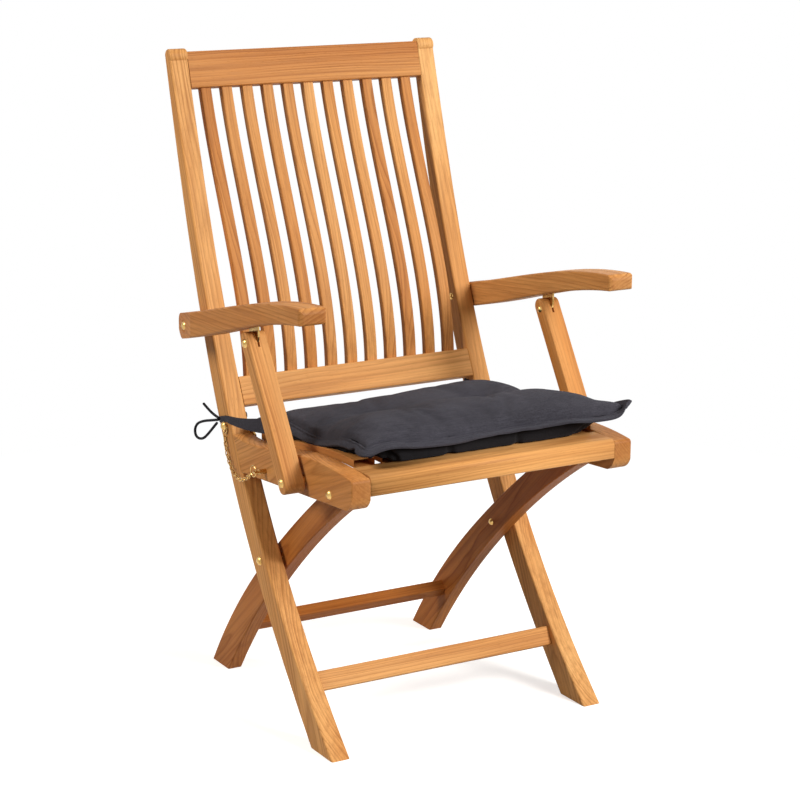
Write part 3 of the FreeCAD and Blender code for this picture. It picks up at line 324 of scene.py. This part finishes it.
def arc_points(centre, radius, start, end, count=8):
    """Points of a circular arc between two angles in degrees."""
    angles = [math.radians(start + (end - start) * i / count) for i in range(count + 1)]
    return [(centre[0] + radius * math.cos(a), centre[1] + radius * math.sin(a)) for a in angles]


def mesh_object(name, mesh, materials, levels=0):
    """A finished mesh as an object, smooth and subdivided where levels is above 0."""
    bmesh.ops.recalc_face_normals(mesh, faces=mesh.faces)
    data = bpy.data.meshes.new(name)
    mesh.to_mesh(data)
    mesh.free()
    piece = bpy.data.objects.new(name, data)
    scene.collection.objects.link(piece)
    for material in materials:
        data.materials.append(material)
    if levels:
        smoother = piece.modifiers.new("smooth", "SUBSURF")
        smoother.levels = smoother.render_levels = levels
        for polygon in data.polygons:
            polygon.use_smooth = True
    return piece


def seat_board(name, mesh, node):
    """A teak piece of the seat that stands for a node and takes its material."""
    piece = mesh_object(name, mesh, [nodes[node].data.materials[0]])
    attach(piece, "seat")
    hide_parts(node)


def wide_front_rail():
    """The front rail: its outline carried from end to end of the CAD rail."""
    top, low, ease = RAIL_TOP_ROUND, RAIL_LOW_ROUND, RAIL_EASE
    outline = arc_points((RAIL_FRONT + low, RAIL_LOW + low), low, 270, 180)
    outline += arc_points((RAIL_FRONT + top, RAIL_HIGH - top), top, 180, 90)
    outline += arc_points((RAIL_REAR - ease, RAIL_HIGH - ease), ease, 90, 0, 4)
    outline += arc_points((RAIL_REAR - ease, RAIL_LOW + ease), ease, 0, -90, 4)
    mesh = bmesh.new()
    low_corner, high_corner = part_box("front_rail")
    ends = [[mesh.verts.new((x, y, z)) for y, z in outline] for x in (low_corner.x, high_corner.x)]
    for j in range(len(outline)):
        k = (j + 1) % len(outline)
        face = mesh.faces.new((ends[0][j], ends[0][k], ends[1][k], ends[1][j]))
        face.smooth = True
    mesh.faces.new(ends[0][::-1])
    mesh.faces.new(ends[1])
    seat_board("front_rail_wide", mesh, "front_rail")


def shorter_slat(number):
    """A slat cut off behind the wide front rail, and moved outwards with the others."""
    node = f"seat_slat_{number}"
    mesh = bmesh.new()
    mesh.from_mesh(nodes[node].data)
    parts = mesh.verts[:] + mesh.edges[:] + mesh.faces[:]
    plane = {"plane_co": (0, SLATS_FROM, 0), "plane_no": (0, -1, 0)}
    cut = bmesh.ops.bisect_plane(mesh, geom=parts, clear_outer=True, **plane)
    rim = [part for part in cut["geom_cut"] if isinstance(part, bmesh.types.BMEdge)]
    bmesh.ops.holes_fill(mesh, edges=rim)
    for vertex in mesh.verts:
        vertex.co.x *= SLATS_SPREAD
    seat_board(f"slat_short_{number}", mesh, node)


wide_front_rail()
for number in range(1, 10):
    shorter_slat(number)


# Brass: warm metal, a little tarnished and duller in small patches


def brass_material():
    material, tree, shader = new_material("brass_polished")
    place = tree.add("ShaderNodeTexCoord").outputs["Object"]
    patches = tree.noise(place, 3.0, scale=160.0).outputs["Fac"]
    tarnish = tree.ramp(patches, (0.35, 0.0), (0.75, 1.0))
    colour = tree.mix(tarnish, linear(214, 178, 112), linear(160, 120, 62))
    tree.put(shader.inputs["Base Color"], colour)
    shader.inputs["Metallic"].default_value = 1.0
    tree.put(shader.inputs["Roughness"], tree.map_range(patches, 0.3, 0.7, 0.16, 0.34))
    return material


brass = brass_material()
for name, node in nodes.items():
    if name not in boards:
        paint(name, brass)


# Charcoal woven fabric: crossing threads, thicker slubs and a faint cloud


def fabric_material(name, light, dark, thread=0.0009):
    """A woven cloth between two colours, with threads of the given pitch in metres."""
    material, tree, shader = new_material(name)
    place = tree.add("ShaderNodeTexCoord").outputs["Object"]
    axes = tree.add("ShaderNodeSeparateXYZ", {"Vector": place})
    turns = 2 * math.pi / thread
    warp = tree.math("SINE", tree.math("MULTIPLY", axes.outputs["X"], turns))
    weft = tree.math("SINE", tree.math("MULTIPLY", axes.outputs["Y"], turns))
    weave = tree.math("MULTIPLY", warp, weft)
    melange = tree.noise(tree.vector("MULTIPLY", place, (500, 900, 900)), 3.0, 0.7).outputs["Fac"]
    slub = tree.noise(tree.vector("MULTIPLY", place, (30, 420, 420)), 2.0).outputs["Fac"]
    cloud = tree.noise(tree.vector("MULTIPLY", place, (9, 9, 9)), 3.0).outputs["Fac"]
    amount = tree.math("ADD", tree.math("MULTIPLY", melange, 0.7), tree.math("MULTIPLY", slub, 0.3))
    amount = tree.math("ADD", amount, tree.math("MULTIPLY", weave, 0.1))
    amount = tree.math("ADD", amount, tree.map_range(cloud, 0.3, 0.7, -0.07, 0.07))
    colour = tree.ramp(amount, (0.32, dark), (0.72, light))
    tree.put(shader.inputs["Base Color"], colour)
    shader.inputs["Roughness"].default_value = 0.92
    shader.inputs["Specular IOR Level"].default_value = 0.12
    shader.inputs["Sheen Weight"].default_value = 0.14
    shader.inputs["Sheen Roughness"].default_value = 0.5
    shader.inputs["Sheen Tint"].default_value = linear(150, 155, 170)
    height = tree.math("ADD", weave, tree.math("MULTIPLY", melange, 1.2))
    bump = tree.add("ShaderNodeBump", {"Strength": 0.5, "Distance": 0.0003, "Height": height})
    tree.put(shader.inputs["Normal"], bump.outputs["Normal"])
    return material


charcoal = fabric_material("charcoal_weave", linear(76, 75, 84), linear(41, 40, 46))
# painted shade: the lower sheet's darker cloth stands for the shadow under the cushion
underside = fabric_material("underside_painted_shade", linear(30, 29, 32), linear(14, 14, 16))
tape = fabric_material("black_tape", linear(46, 46, 51), linear(22, 22, 25), 0.0012)


# Cushion: two sheets sewn round the edge and at two tufts, blown up by a cloth simulation in the flat

HALF_X, HALF_Y = 0.222, 0.1815
HEM = 0.016
SEAM_X, SEAM_Y = HALF_X - HEM, HALF_Y - HEM
CENTRE_Y = -0.107
HEM_FRONT_Z, HEM_REAR_Z = 0.4885, 0.4574
DRAW_IN = 0.007
TUFTS = [(-0.087, 0.0), (0.093, 0.0)]
TUFT_RADIUS = 0.0065
TUFT_Z = {1: 0.0105, -1: -0.0035}
STEP = 0.005
FRAMES = 30
UPPER_RISE, LOWER_RISE = 0.016, 0.009

# What the cushion lies on: the slats' crown from front to rear, and the front rail before their ends
CROWN_FROM, CROWN_LENGTH = -0.2785, 0.3285
CROWN = (0.4742, 0.0240, -0.0930, 0.0390)
SLAT_ENDS, RAIL_TOP = -0.2575, 0.4668
UNDERSIDE_GAP = 0.0008

# The underside falls from the seam to the seat, and bellies out, within these shares of the half width
FALL_WITHIN, BELLY_WITHIN, BELLY_ENDS = 0.065, 0.075, 0.25

# The upper sheet: height of its rolls, the simulated share, and how it changes over the plan
PLAIN_HEIGHT, SIMULATED_SHARE = 0.034, 0.34
EDGE_POWER, CORNER_POWER, CORNER_FULLNESS = 0.56, -0.22, 0.62
VALLEY_DEPTH, VALLEY_WIDTH = 0.33, 0.040
TUFT_DEPTH, TUFT_WIDTH = 0.38, 0.026
FULLNESS, FULLER_RIGHT, FLATTER_REAR, FLATTER_MIDDLE = 1.20, 0.18, 0.30, 0.06

# Places in the plan: s from left to right with a width, t from front to rear with a width
FULL_CORNER = (1.0, 0.19, 0.0, 0.24)
PULLED_CORNER = (1.0, 0.22, 0.0, 0.30)
LATE_FALL_CORNER = (1.0, 0.10, 0.0, 0.10)
LEFT_CORNER = (0.0, 0.20, 0.0, 0.20)
TIP_CORNER = (1.0, 0.03, 0.03, 0.10)
NOTCH = (0.0, 0.02, 0.065, 0.018)
SEAM_RISES = [
    (0.013, (0.0, 0.22, 0.20, 0.17)),
    (0.004, (0.14, 0.10, 0.0, 0.20)),
    (0.003, (0.77, 0.09, 0.0, 0.20)),
    (0.020, (1.0, 0.07, 0.0, 0.12)),
    (0.019, (0.0, 0.14, 0.82, 0.26)),
]

# The sewn border: points along the front and a side, its lean in degrees, and its waviness
HEM_POINTS = (104, 84)
HEM_TILT, HEM_TILT_LEFT, HEM_TILT_RIGHT = -24.0, -14.0, 22.0
HEM_TILT_RIGHT_END, HEM_TILT_TIP, HEM_TILT_MOST = 34.0, 44.0, 66.0
HEM_WAVES, HEM_WAVE_TILT, HEM_WAVE_WIDTH = 34, 9.0, 0.06
NOTCH_DEPTH = 0.45
HEM_STEP = 0.004

# Shifts in the plan: a lean to the right, the left-front corner inwards, the right-front one out and forward
LEAN_RIGHT, LEFT_CORNER_IN = 0.022, 0.006
PULL_RIGHT, PULL_FORWARD = 0.024, 0.029
LATE_FALL = 0.25

# Lifts of the seam: all along the front, towards the right side, and at the right-rear corner
LIFT_FRONT, LIFT_RIGHT, LIFT_RIGHT_REAR = 0.005, 0.003, 0.005


def drawn(x, y):
    """A point of the straight plan moved to the sewn plan, whose sides curve inwards."""
    u, v = x / SEAM_X, y / SEAM_Y
    return x * (1 - DRAW_IN / SEAM_X * (1 - v * v)), y * (1 - DRAW_IN / SEAM_Y * (1 - u * u))


def stuffed_mesh():
    """Two grids that share their rim, the upper and the lower sheet, with a slight dome on each."""
    across, deep = round(2 * SEAM_X / STEP), round(2 * SEAM_Y / STEP)
    mesh = bmesh.new()
    rim = {}
    for sign, rise in ((1, UPPER_RISE), (-1, LOWER_RISE)):
        grid = {}
        for i in range(across + 1):
            for j in range(deep + 1):
                edge = i in (0, across) or j in (0, deep)
                if (i, j) in rim:
                    grid[i, j] = rim[i, j]
                    continue
                x, y = -SEAM_X + 2 * SEAM_X * i / across, -SEAM_Y + 2 * SEAM_Y * j / deep
                dome = (1 - (x / SEAM_X) ** 4) * (1 - (y / SEAM_Y) ** 4)
                height = 0.0 if edge else sign * rise * dome
                grid[i, j] = mesh.verts.new((*drawn(x, y), height))
                if edge:
                    rim[i, j] = grid[i, j]
        for i in range(across):
            for j in range(deep):
                corners = [grid[i, j], grid[i + 1, j], grid[i + 1, j + 1], grid[i, j + 1]]
                mesh.faces.new(corners if sign > 0 else corners[::-1])
    return mesh, rim


def blown_up(mesh, rim):
    """The sheets after the simulation: a list of positions in vertex order."""
    data = bpy.data.meshes.new("cushion_flat")
    mesh.verts.index_update()
    held = {v.index for v in rim.values()}
    for vertex in mesh.verts:
        if vertex.index not in held and near_tuft(vertex.co) < TUFT_RADIUS:
            vertex.co.z = TUFT_Z[1 if vertex.co.z > 0 else -1]
            held.add(vertex.index)
    mesh.to_mesh(data)
    form = bpy.data.objects.new("cushion_flat", data)
    scene.collection.objects.link(form)
    pins = form.vertex_groups.new(name="pins")
    pins.add(sorted(held), 1.0, "REPLACE")
    cloth = form.modifiers.new("cloth", "CLOTH")
    settings = cloth.settings
    settings.quality = 6
    settings.mass = 0.25
    settings.tension_stiffness = 18
    settings.compression_stiffness = 12
    settings.shear_stiffness = 6
    settings.bending_stiffness = 3.0
    settings.air_damping = 4
    settings.effector_weights.gravity = 0
    settings.use_pressure = True
    settings.uniform_pressure_force = 6.0
    settings.shrink_min = -0.055
    settings.vertex_group_mass = "pins"
    cloth.point_cache.frame_start = 1
    cloth.point_cache.frame_end = FRAMES
    for number in range(1, FRAMES + 1):
        scene.frame_set(number)
    evaluated = form.evaluated_get(bpy.context.evaluated_depsgraph_get())
    result = [v.co.copy() for v in evaluated.data.vertices]
    scene.frame_set(1)
    bpy.data.objects.remove(form)
    return result


def near_tuft(place):
    """Distance in the plan from the nearer tuft."""
    return min(math.hypot(place.x - tx, place.y - ty) for tx, ty in TUFTS)


def smooth(low, high, value):
    """0 below low, 1 above high, and an even curve between them."""
    t = min(1.0, max(0.0, (value - low) / (high - low)))
    return t * t * (3 - 2 * t)


def bell(value, width):
    """1 at 0, falling to about a third at the width."""
    return math.exp(-((value / width) ** 2))


def near(place, s, t):
    """1 at a place of the plan, falling off round it."""
    return bell(s - place[0], place[1]) * bell(t - place[2], place[3])


def plan_shares(x, y):
    """A point of the flat cushion as s from left to right and t from front to rear."""
    return (x / HALF_X + 1) / 2, (y / HALF_Y + 1) / 2


def rest_height(y):
    """Height of the slats' crown, and before their ends of the front rail."""
    t = (y - CROWN_FROM) / CROWN_LENGTH
    crown = sum(factor * t**power for power, factor in enumerate(CROWN))
    return crown - (crown - RAIL_TOP) * smooth(SLAT_ENDS, SLAT_ENDS - 0.003, y)


def seam_height(s, t):
    """Height of the seam above the floor, s from left to right and t from front to rear."""
    height = HEM_FRONT_Z + (HEM_REAR_Z - HEM_FRONT_Z) * t
    height += sum(rise * near(place, s, t) for rise, place in SEAM_RISES)
    along_front = LIFT_FRONT * (1 - bell(s, 0.05)) * bell(t, 0.3)
    to_the_right = LIFT_RIGHT * smooth(0.5, 1.0, s) + LIFT_RIGHT_REAR * smooth(0.4, 1.0, s) * t
    return height + along_front + to_the_right


def rounded(x, y, lift):
    """The upper sheet's height: part of the simulated one, on two plain rolls with full corners."""
    s, t = plan_shares(x, y)
    u, v = min(abs(x / SEAM_X), 1.0), min(abs(y / SEAM_Y), 1.0)
    corner = near(FULL_CORNER, s, t)
    edge = ((1 - u**5) * (1 - v**4)) ** (EDGE_POWER + CORNER_POWER * corner)
    tuft = TUFT_DEPTH * bell(near_tuft(Vector((x, y, 0))), TUFT_WIDTH)
    valley = 1 - VALLEY_DEPTH * bell(y, VALLEY_WIDTH) - tuft
    plain = PLAIN_HEIGHT * edge * valley * (1 + CORNER_FULLNESS * corner)
    height = SIMULATED_SHARE * max(lift, 0.0) + (1 - SIMULATED_SHARE) * plain
    rear = smooth(0.35, 0.75, t) * (1 - 0.95 * s)
    middle = bell(s - 0.5, 0.15)
    return height * (FULLNESS + FULLER_RIGHT * s - FLATTER_REAR * rear - FLATTER_MIDDLE * middle)


def settled(x, y, lift, upper=False):
    """A point of the flat cushion laid on the seat: its raised corners and its flattened underside."""
    u, v = x / SEAM_X, y / SEAM_Y
    s, t = plan_shares(x, y)
    inward = 0.0 if upper or lift >= 0 else 1 - max(abs(u), abs(v))
    fall = smooth(0.0, FALL_WITHIN + LATE_FALL * near(LATE_FALL_CORNER, s, t), inward)
    pull = near(PULLED_CORNER, s, t) * (1 - fall)
    lean = LEAN_RIGHT * smooth(0.35, 1.0, s) * (1 - 0.4 * t)
    across = x + lean + PULL_RIGHT * pull + LEFT_CORNER_IN * near(LEFT_CORNER, s, t)
    along = CENTRE_Y + y - PULL_FORWARD * pull
    seam = seam_height(s, t)
    if upper:
        return Vector((across, along, seam + rounded(x, y, lift)))
    bulge = min(inward, BELLY_WITHIN) * (1 - smooth(BELLY_WITHIN, BELLY_ENDS, inward))
    lengthwise = smooth(-0.08, 0.08, abs(v) - abs(u))
    across += math.copysign(SEAM_X * bulge * (1 - lengthwise), u)
    along += math.copysign(SEAM_Y * bulge * lengthwise, v)
    floor = rest_height(along) + UNDERSIDE_GAP
    return Vector((across, along, seam + (floor - seam) * fall))


def hem_tilt(s, t):
    """How far the sewn border leans up from the seam plane."""
    tilt = HEM_TILT + HEM_TILT_LEFT * bell(s, 0.05) + HEM_TILT_RIGHT * smooth(0.3, 0.6, s)
    tilt += HEM_TILT_RIGHT_END * smooth(0.96, 1.0, s) + HEM_TILT_TIP * near(TIP_CORNER, s, t)
    return math.radians(min(tilt, HEM_TILT_MOST))


def hem_ring():
    """Points round the seam, counter-clockwise, each with its outward direction in the flat."""
    ring = []
    for side in range(4):
        count = HEM_POINTS[side % 2]
        for k in range(count):
            t = -1 + 2 * k / count
            u, v = ((t, -1), (1, t), (-t, 1), (-1, -t))[side]
            outward = Vector((u if abs(u) > 0.999 else 0.0, v if abs(v) > 0.999 else 0.0))
            ring.append((u, v, outward))
    return ring


# The border's outline as (reach outwards, height): a groove for the stitches, and two layers at the edge
HEM_PROFILE = [
    (-0.0010, 0.0006),
    (0.0010, 0.0032),
    (0.0028, 0.0028),
    (0.0042, 0.0008),
    (0.0058, 0.0026),
    (0.0120, 0.0023),
    (0.0150, 0.0022),
    (0.0160, 0.0012),
    (0.0148, 0.0001),
    (0.0160, -0.0010),
    (0.0150, -0.0020),
    (0.0058, -0.0020),
    (0.0042, -0.0012),
    (0.0010, -0.0020),
    (-0.0010, -0.0014),
]


def hem_mesh(mesh):
    """The sewn border: a padded band with a stitched groove, its two layers parted at the edge."""
    rows = []
    for u, v, outward in hem_ring():
        x, y = drawn(u * SEAM_X, v * SEAM_Y)
        s, t = (u + 1) / 2, (v + 1) / 2
        wave = noise.noise(Vector((x * HEM_WAVES, y * HEM_WAVES, 4.0)))
        tilt = hem_tilt(s, t) + math.radians(HEM_WAVE_TILT) * wave
        notch = 1 - NOTCH_DEPTH * near(NOTCH, s, t)
        place = settled(x, y, 0.0)
        away = settled(x + outward.x * HEM_STEP, y + outward.y * HEM_STEP, 0.0) - place
        away = Vector((away.x, away.y, 0)).normalized() * outward.length
        row = []
        for reach, height in HEM_PROFILE:
            out = max(0.0, reach) * notch * (1 + HEM_WAVE_WIDTH * wave)
            flat = out * math.cos(tilt) - height * math.sin(tilt)
            rise = out * math.sin(tilt) + height * math.cos(tilt)
            row.append(mesh.verts.new(place + away * (flat + min(reach, 0.0)) + Vector((0, 0, rise))))
        rows.append(row)
    for row, following in zip(rows, rows[1:] + rows[:1]):
        for j in range(len(row)):
            k = (j + 1) % len(row)
            mesh.faces.new((row[j], following[j], following[k], row[k]))


def make_cushion():
    """The whole cushion: both sheets laid on the seat, the lower one in a darker cloth that is painted
    shade, and the border.
    """
    mesh, rim = stuffed_mesh()
    uppers = [vertex.co.z > 0 for vertex in mesh.verts]
    shapes = blown_up(mesh, rim)
    for vertex, place, upper in zip(mesh.verts, shapes, uppers):
        vertex.co = settled(*place, upper)
    mesh.verts.index_update()
    for face in mesh.faces:
        if all(not uppers[vertex.index] for vertex in face.verts):
            face.material_index = 1
    hem_mesh(mesh)
    return mesh_object("cushion_padded", mesh, [charcoal, underside], 1)


cushion = make_cushion()
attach(cushion, "seat")
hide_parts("cushion")


# Ribbons: the flat ties from the cushion's rear corners round the posts

# Half of the band's outline as (share of half the width, share of half the thickness)
BAND_EDGE = [(-1, -0.5), (-0.92, -1), (0, -1), (0.92, -1), (1, -0.5)]
BAND = BAND_EDGE + [(-a, -b) for a, b in BAND_EDGE]

# Distance of a post's outer and inner face from the middle, and of the band's middle from the face
POST_OUTER, POST_INNER, STRAP_OFF = 0.249, 0.217, 0.0012


def ribbon(name, stations, thickness=0.0016):
    """A flat band through (centre, half width, across) stations; across is the band's width direction."""
    mesh = bmesh.new()
    path = [Vector(centre) for centre, _, _ in stations]
    loops = []
    for index, (centre, half, across) in enumerate(stations):
        before, after = path[max(index - 1, 0)], path[min(index + 1, len(path) - 1)]
        tangent = (after - before).normalized()
        wide = Vector(across)
        wide = (wide - tangent * wide.dot(tangent)).normalized()
        normal = tangent.cross(wide).normalized()
        loop = []
        for a, b in BAND:
            loop.append(mesh.verts.new(path[index] + wide * a * half + normal * b * thickness / 2))
        loops.append(loop)
    for one, two in zip(loops, loops[1:]):
        for j in range(len(one)):
            k = (j + 1) % len(one)
            mesh.faces.new((one[j], two[j], two[k], one[k]))
    mesh.faces.new(loops[0][::-1])
    mesh.faces.new(loops[-1])
    return mesh_object(name, mesh, [charcoal], 2)


def post_strap(side, name, node):
    """The tie round a post: along its outer face, round its rear and back along its inner face."""
    edge, inner, off = side * POST_OUTER, side * POST_INNER, side * STRAP_OFF
    vertical = (0, 0, 1)
    stations = [
        ((edge + off, 0.088, 0.4658), 0.0060, vertical),
        ((edge + off, 0.104, 0.4650), 0.0050, vertical),
        ((edge + off, 0.118, 0.4605), 0.0050, vertical),
        ((edge + off, 0.1300, 0.4572), 0.0050, vertical),
        ((edge - side * 0.006, 0.1375, 0.4580), 0.0052, vertical),
        ((side * 0.233, 0.1385, 0.4620), 0.0055, vertical),
        ((inner + side * 0.006, 0.1375, 0.4672), 0.0058, vertical),
        ((inner - off, 0.1315, 0.4672), 0.0058, vertical),
        ((inner - off, 0.110, 0.4672), 0.0058, vertical),
        ((inner - off, 0.094, 0.4672), 0.0058, vertical),
    ]
    strap = ribbon(name, stations)
    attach(strap, "back")
    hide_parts(node)


post_strap(-1, "strap_left", "tie_strap_left")
post_strap(1, "strap_right", "tie_strap_right")

# The left tie's forward part, from the post to the cushion, as (centre, half width)
FORWARD_STRAP = [
    ((-0.2505, 0.1040, 0.4652), 0.0050),
    ((-0.2507, 0.0850, 0.4660), 0.0062),
    ((-0.2505, 0.0520, 0.4685), 0.0078),
    ((-0.2490, 0.0160, 0.4738), 0.0098),
    ((-0.2450, -0.0080, 0.4772), 0.0116),
    ((-0.2350, -0.0300, 0.4792), 0.0128),
    ((-0.2240, -0.0470, 0.4790), 0.0100),
]
leaning = (0.35, 0, 1)
stations = [(place, half, leaning) for place, half in FORWARD_STRAP]
forward_strap = ribbon("strap_forward_left", stations, 0.0024)
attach(forward_strap, "back")
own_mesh(forward_strap)


# Bow: the limp cords behind the left post


def cord(name, route, node, radius, **facts):
    """A limp cord along the smooth line through a route. Its facts are not used."""
    data = bpy.data.curves.new(name, "CURVE")
    data.dimensions = "3D"
    data.bevel_depth = radius
    data.bevel_resolution = 4
    data.use_fill_caps = True
    spline = data.splines.new("NURBS")
    spline.points.add(len(route) - 1)
    for point, place in zip(spline.points, route):
        point.co = (*place, 1.0)
    spline.order_u = 3
    spline.use_endpoint_u = True
    spline.resolution_u = 8
    piece = bpy.data.objects.new(name, data)
    scene.collection.objects.link(piece)
    data.materials.append(tape)
    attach(piece, "back")
    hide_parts(node)


CORD_RADIUS = 0.0022
LOOP_ROUTE = [
    (-0.2531, 0.1259, 0.4581),
    (-0.2540, 0.1460, 0.4529),
    (-0.2577, 0.1735, 0.4462),
    (-0.2600, 0.1942, 0.4373),
    (-0.2610, 0.2015, 0.4241),
    (-0.2606, 0.1949, 0.4132),
    (-0.2590, 0.1740, 0.4152),
    (-0.2570, 0.1573, 0.4275),
    (-0.2550, 0.1423, 0.4411),
    (-0.2537, 0.1299, 0.4518),
]
END_ROUTE = [
    (-0.2531, 0.1234, 0.4615),
    (-0.2548, 0.1372, 0.4638),
    (-0.2569, 0.1532, 0.4693),
    (-0.2585, 0.1694, 0.4764),
]
LOOP_LENGTH, END_LENGTH = 0.1744, 0.0488
cord("tie_loop", LOOP_ROUTE, "tie_loop_left", CORD_RADIUS, length=LOOP_LENGTH, far_end="object")
cord("tie_end", END_ROUTE, "tie_end_left", CORD_RADIUS, length=END_LENGTH, far_end="bare")


# Studio: pale floor, white background and soft light

AMBIENT = 0.17
FLOOR_NEAR, FLOOR_FAR = 0.7, 1.7
FLOOR_LIFT = 0.62


def studio():
    bpy.ops.mesh.primitive_circle_add(vertices=96, radius=6.0, fill_type="NGON", location=(0, 0, -0.0004))
    floor = bpy.context.active_object
    floor.name = "floor"
    floor.data.materials.append(floor_material())

    world = bpy.data.worlds.new("studio")
    scene.world = world
    tree = empty_tree(world)
    ambient = tree.add("ShaderNodeBackground", {"Color": (1.0, 0.92, 0.82, 1), "Strength": AMBIENT})
    white = tree.add("ShaderNodeBackground", {"Color": (1, 1, 1, 1), "Strength": 1.0})
    mixed = tree.add("ShaderNodeMixShader", {0: seen_rays(tree), 1: ambient.outputs[0], 2: white.outputs[0]})
    tree.add("ShaderNodeOutputWorld", {"Surface": mixed.outputs[0]})

    lamp("key", (1.5, -3.1, 2.3), (0, 0, 0.55), 172.0, (1.5, 1.5), (1.0, 0.975, 0.94))
    lamp("fill", (-2.75, 0.35, 2.6), (0, 0, 0.5), 66.0, (1.2, 1.2), (1.0, 0.93, 0.84))
    lamp("rear", (1.6, 3.0, 2.4), (0, 0, 0.5), 12.0, (2.4, 2.4))


def seen_rays(tree):
    """1 for the rays that see the backdrop: from the camera, in gloss and through glass."""
    path = tree.add("ShaderNodeLightPath")
    seen = tree.math("MAXIMUM", path.outputs["Is Camera Ray"], path.outputs["Is Glossy Ray"])
    return tree.math("MAXIMUM", seen, path.outputs["Is Transmission Ray"])


def floor_material():
    """A floor that looks white but for the shadow near the object, and throws little light back."""
    material = bpy.data.materials.new("pale_floor")
    tree = empty_tree(material)
    place = tree.add("ShaderNodeTexCoord").outputs["Object"]
    far = tree.map_range(tree.vector("LENGTH", place), FLOOR_NEAR, FLOOR_FAR, 0.0, 1.0)
    pale = tree.add("ShaderNodeBsdfDiffuse", {"Color": (0.80, 0.80, 0.80, 1)})
    lift = tree.add("ShaderNodeEmission", {"Color": (1, 1, 1, 1), "Strength": FLOOR_LIFT})
    lit = tree.add("ShaderNodeAddShader", {0: pale.outputs[0], 1: lift.outputs[0]})
    white = tree.add("ShaderNodeEmission", {"Color": (1, 1, 1, 1), "Strength": 1.0})
    shown = tree.add("ShaderNodeMixShader", {0: far, 1: lit.outputs[0], 2: white.outputs[0]})
    dim = tree.add("ShaderNodeBsdfDiffuse", {"Color": (0.34, 0.34, 0.34, 1)})
    both = tree.add("ShaderNodeMixShader", {0: seen_rays(tree), 1: dim.outputs[0], 2: shown.outputs[0]})
    tree.add("ShaderNodeOutputMaterial", {"Surface": both.outputs[0]})
    return material


def lamp(name, place, target, power, width, colour=(1, 1, 1)):
    """A rectangular lamp at a place, turned to its target."""
    data = bpy.data.lights.new(name, "AREA")
    data.shape = "RECTANGLE"
    data.size, data.size_y = width
    data.energy = power
    data.color = colour
    light = bpy.data.objects.new(name, data)
    scene.collection.objects.link(light)
    light.location = place
    light.rotation_mode = "QUATERNION"
    light.rotation_quaternion = (Vector(target) - Vector(place)).to_track_quat("-Z", "Y")


studio()
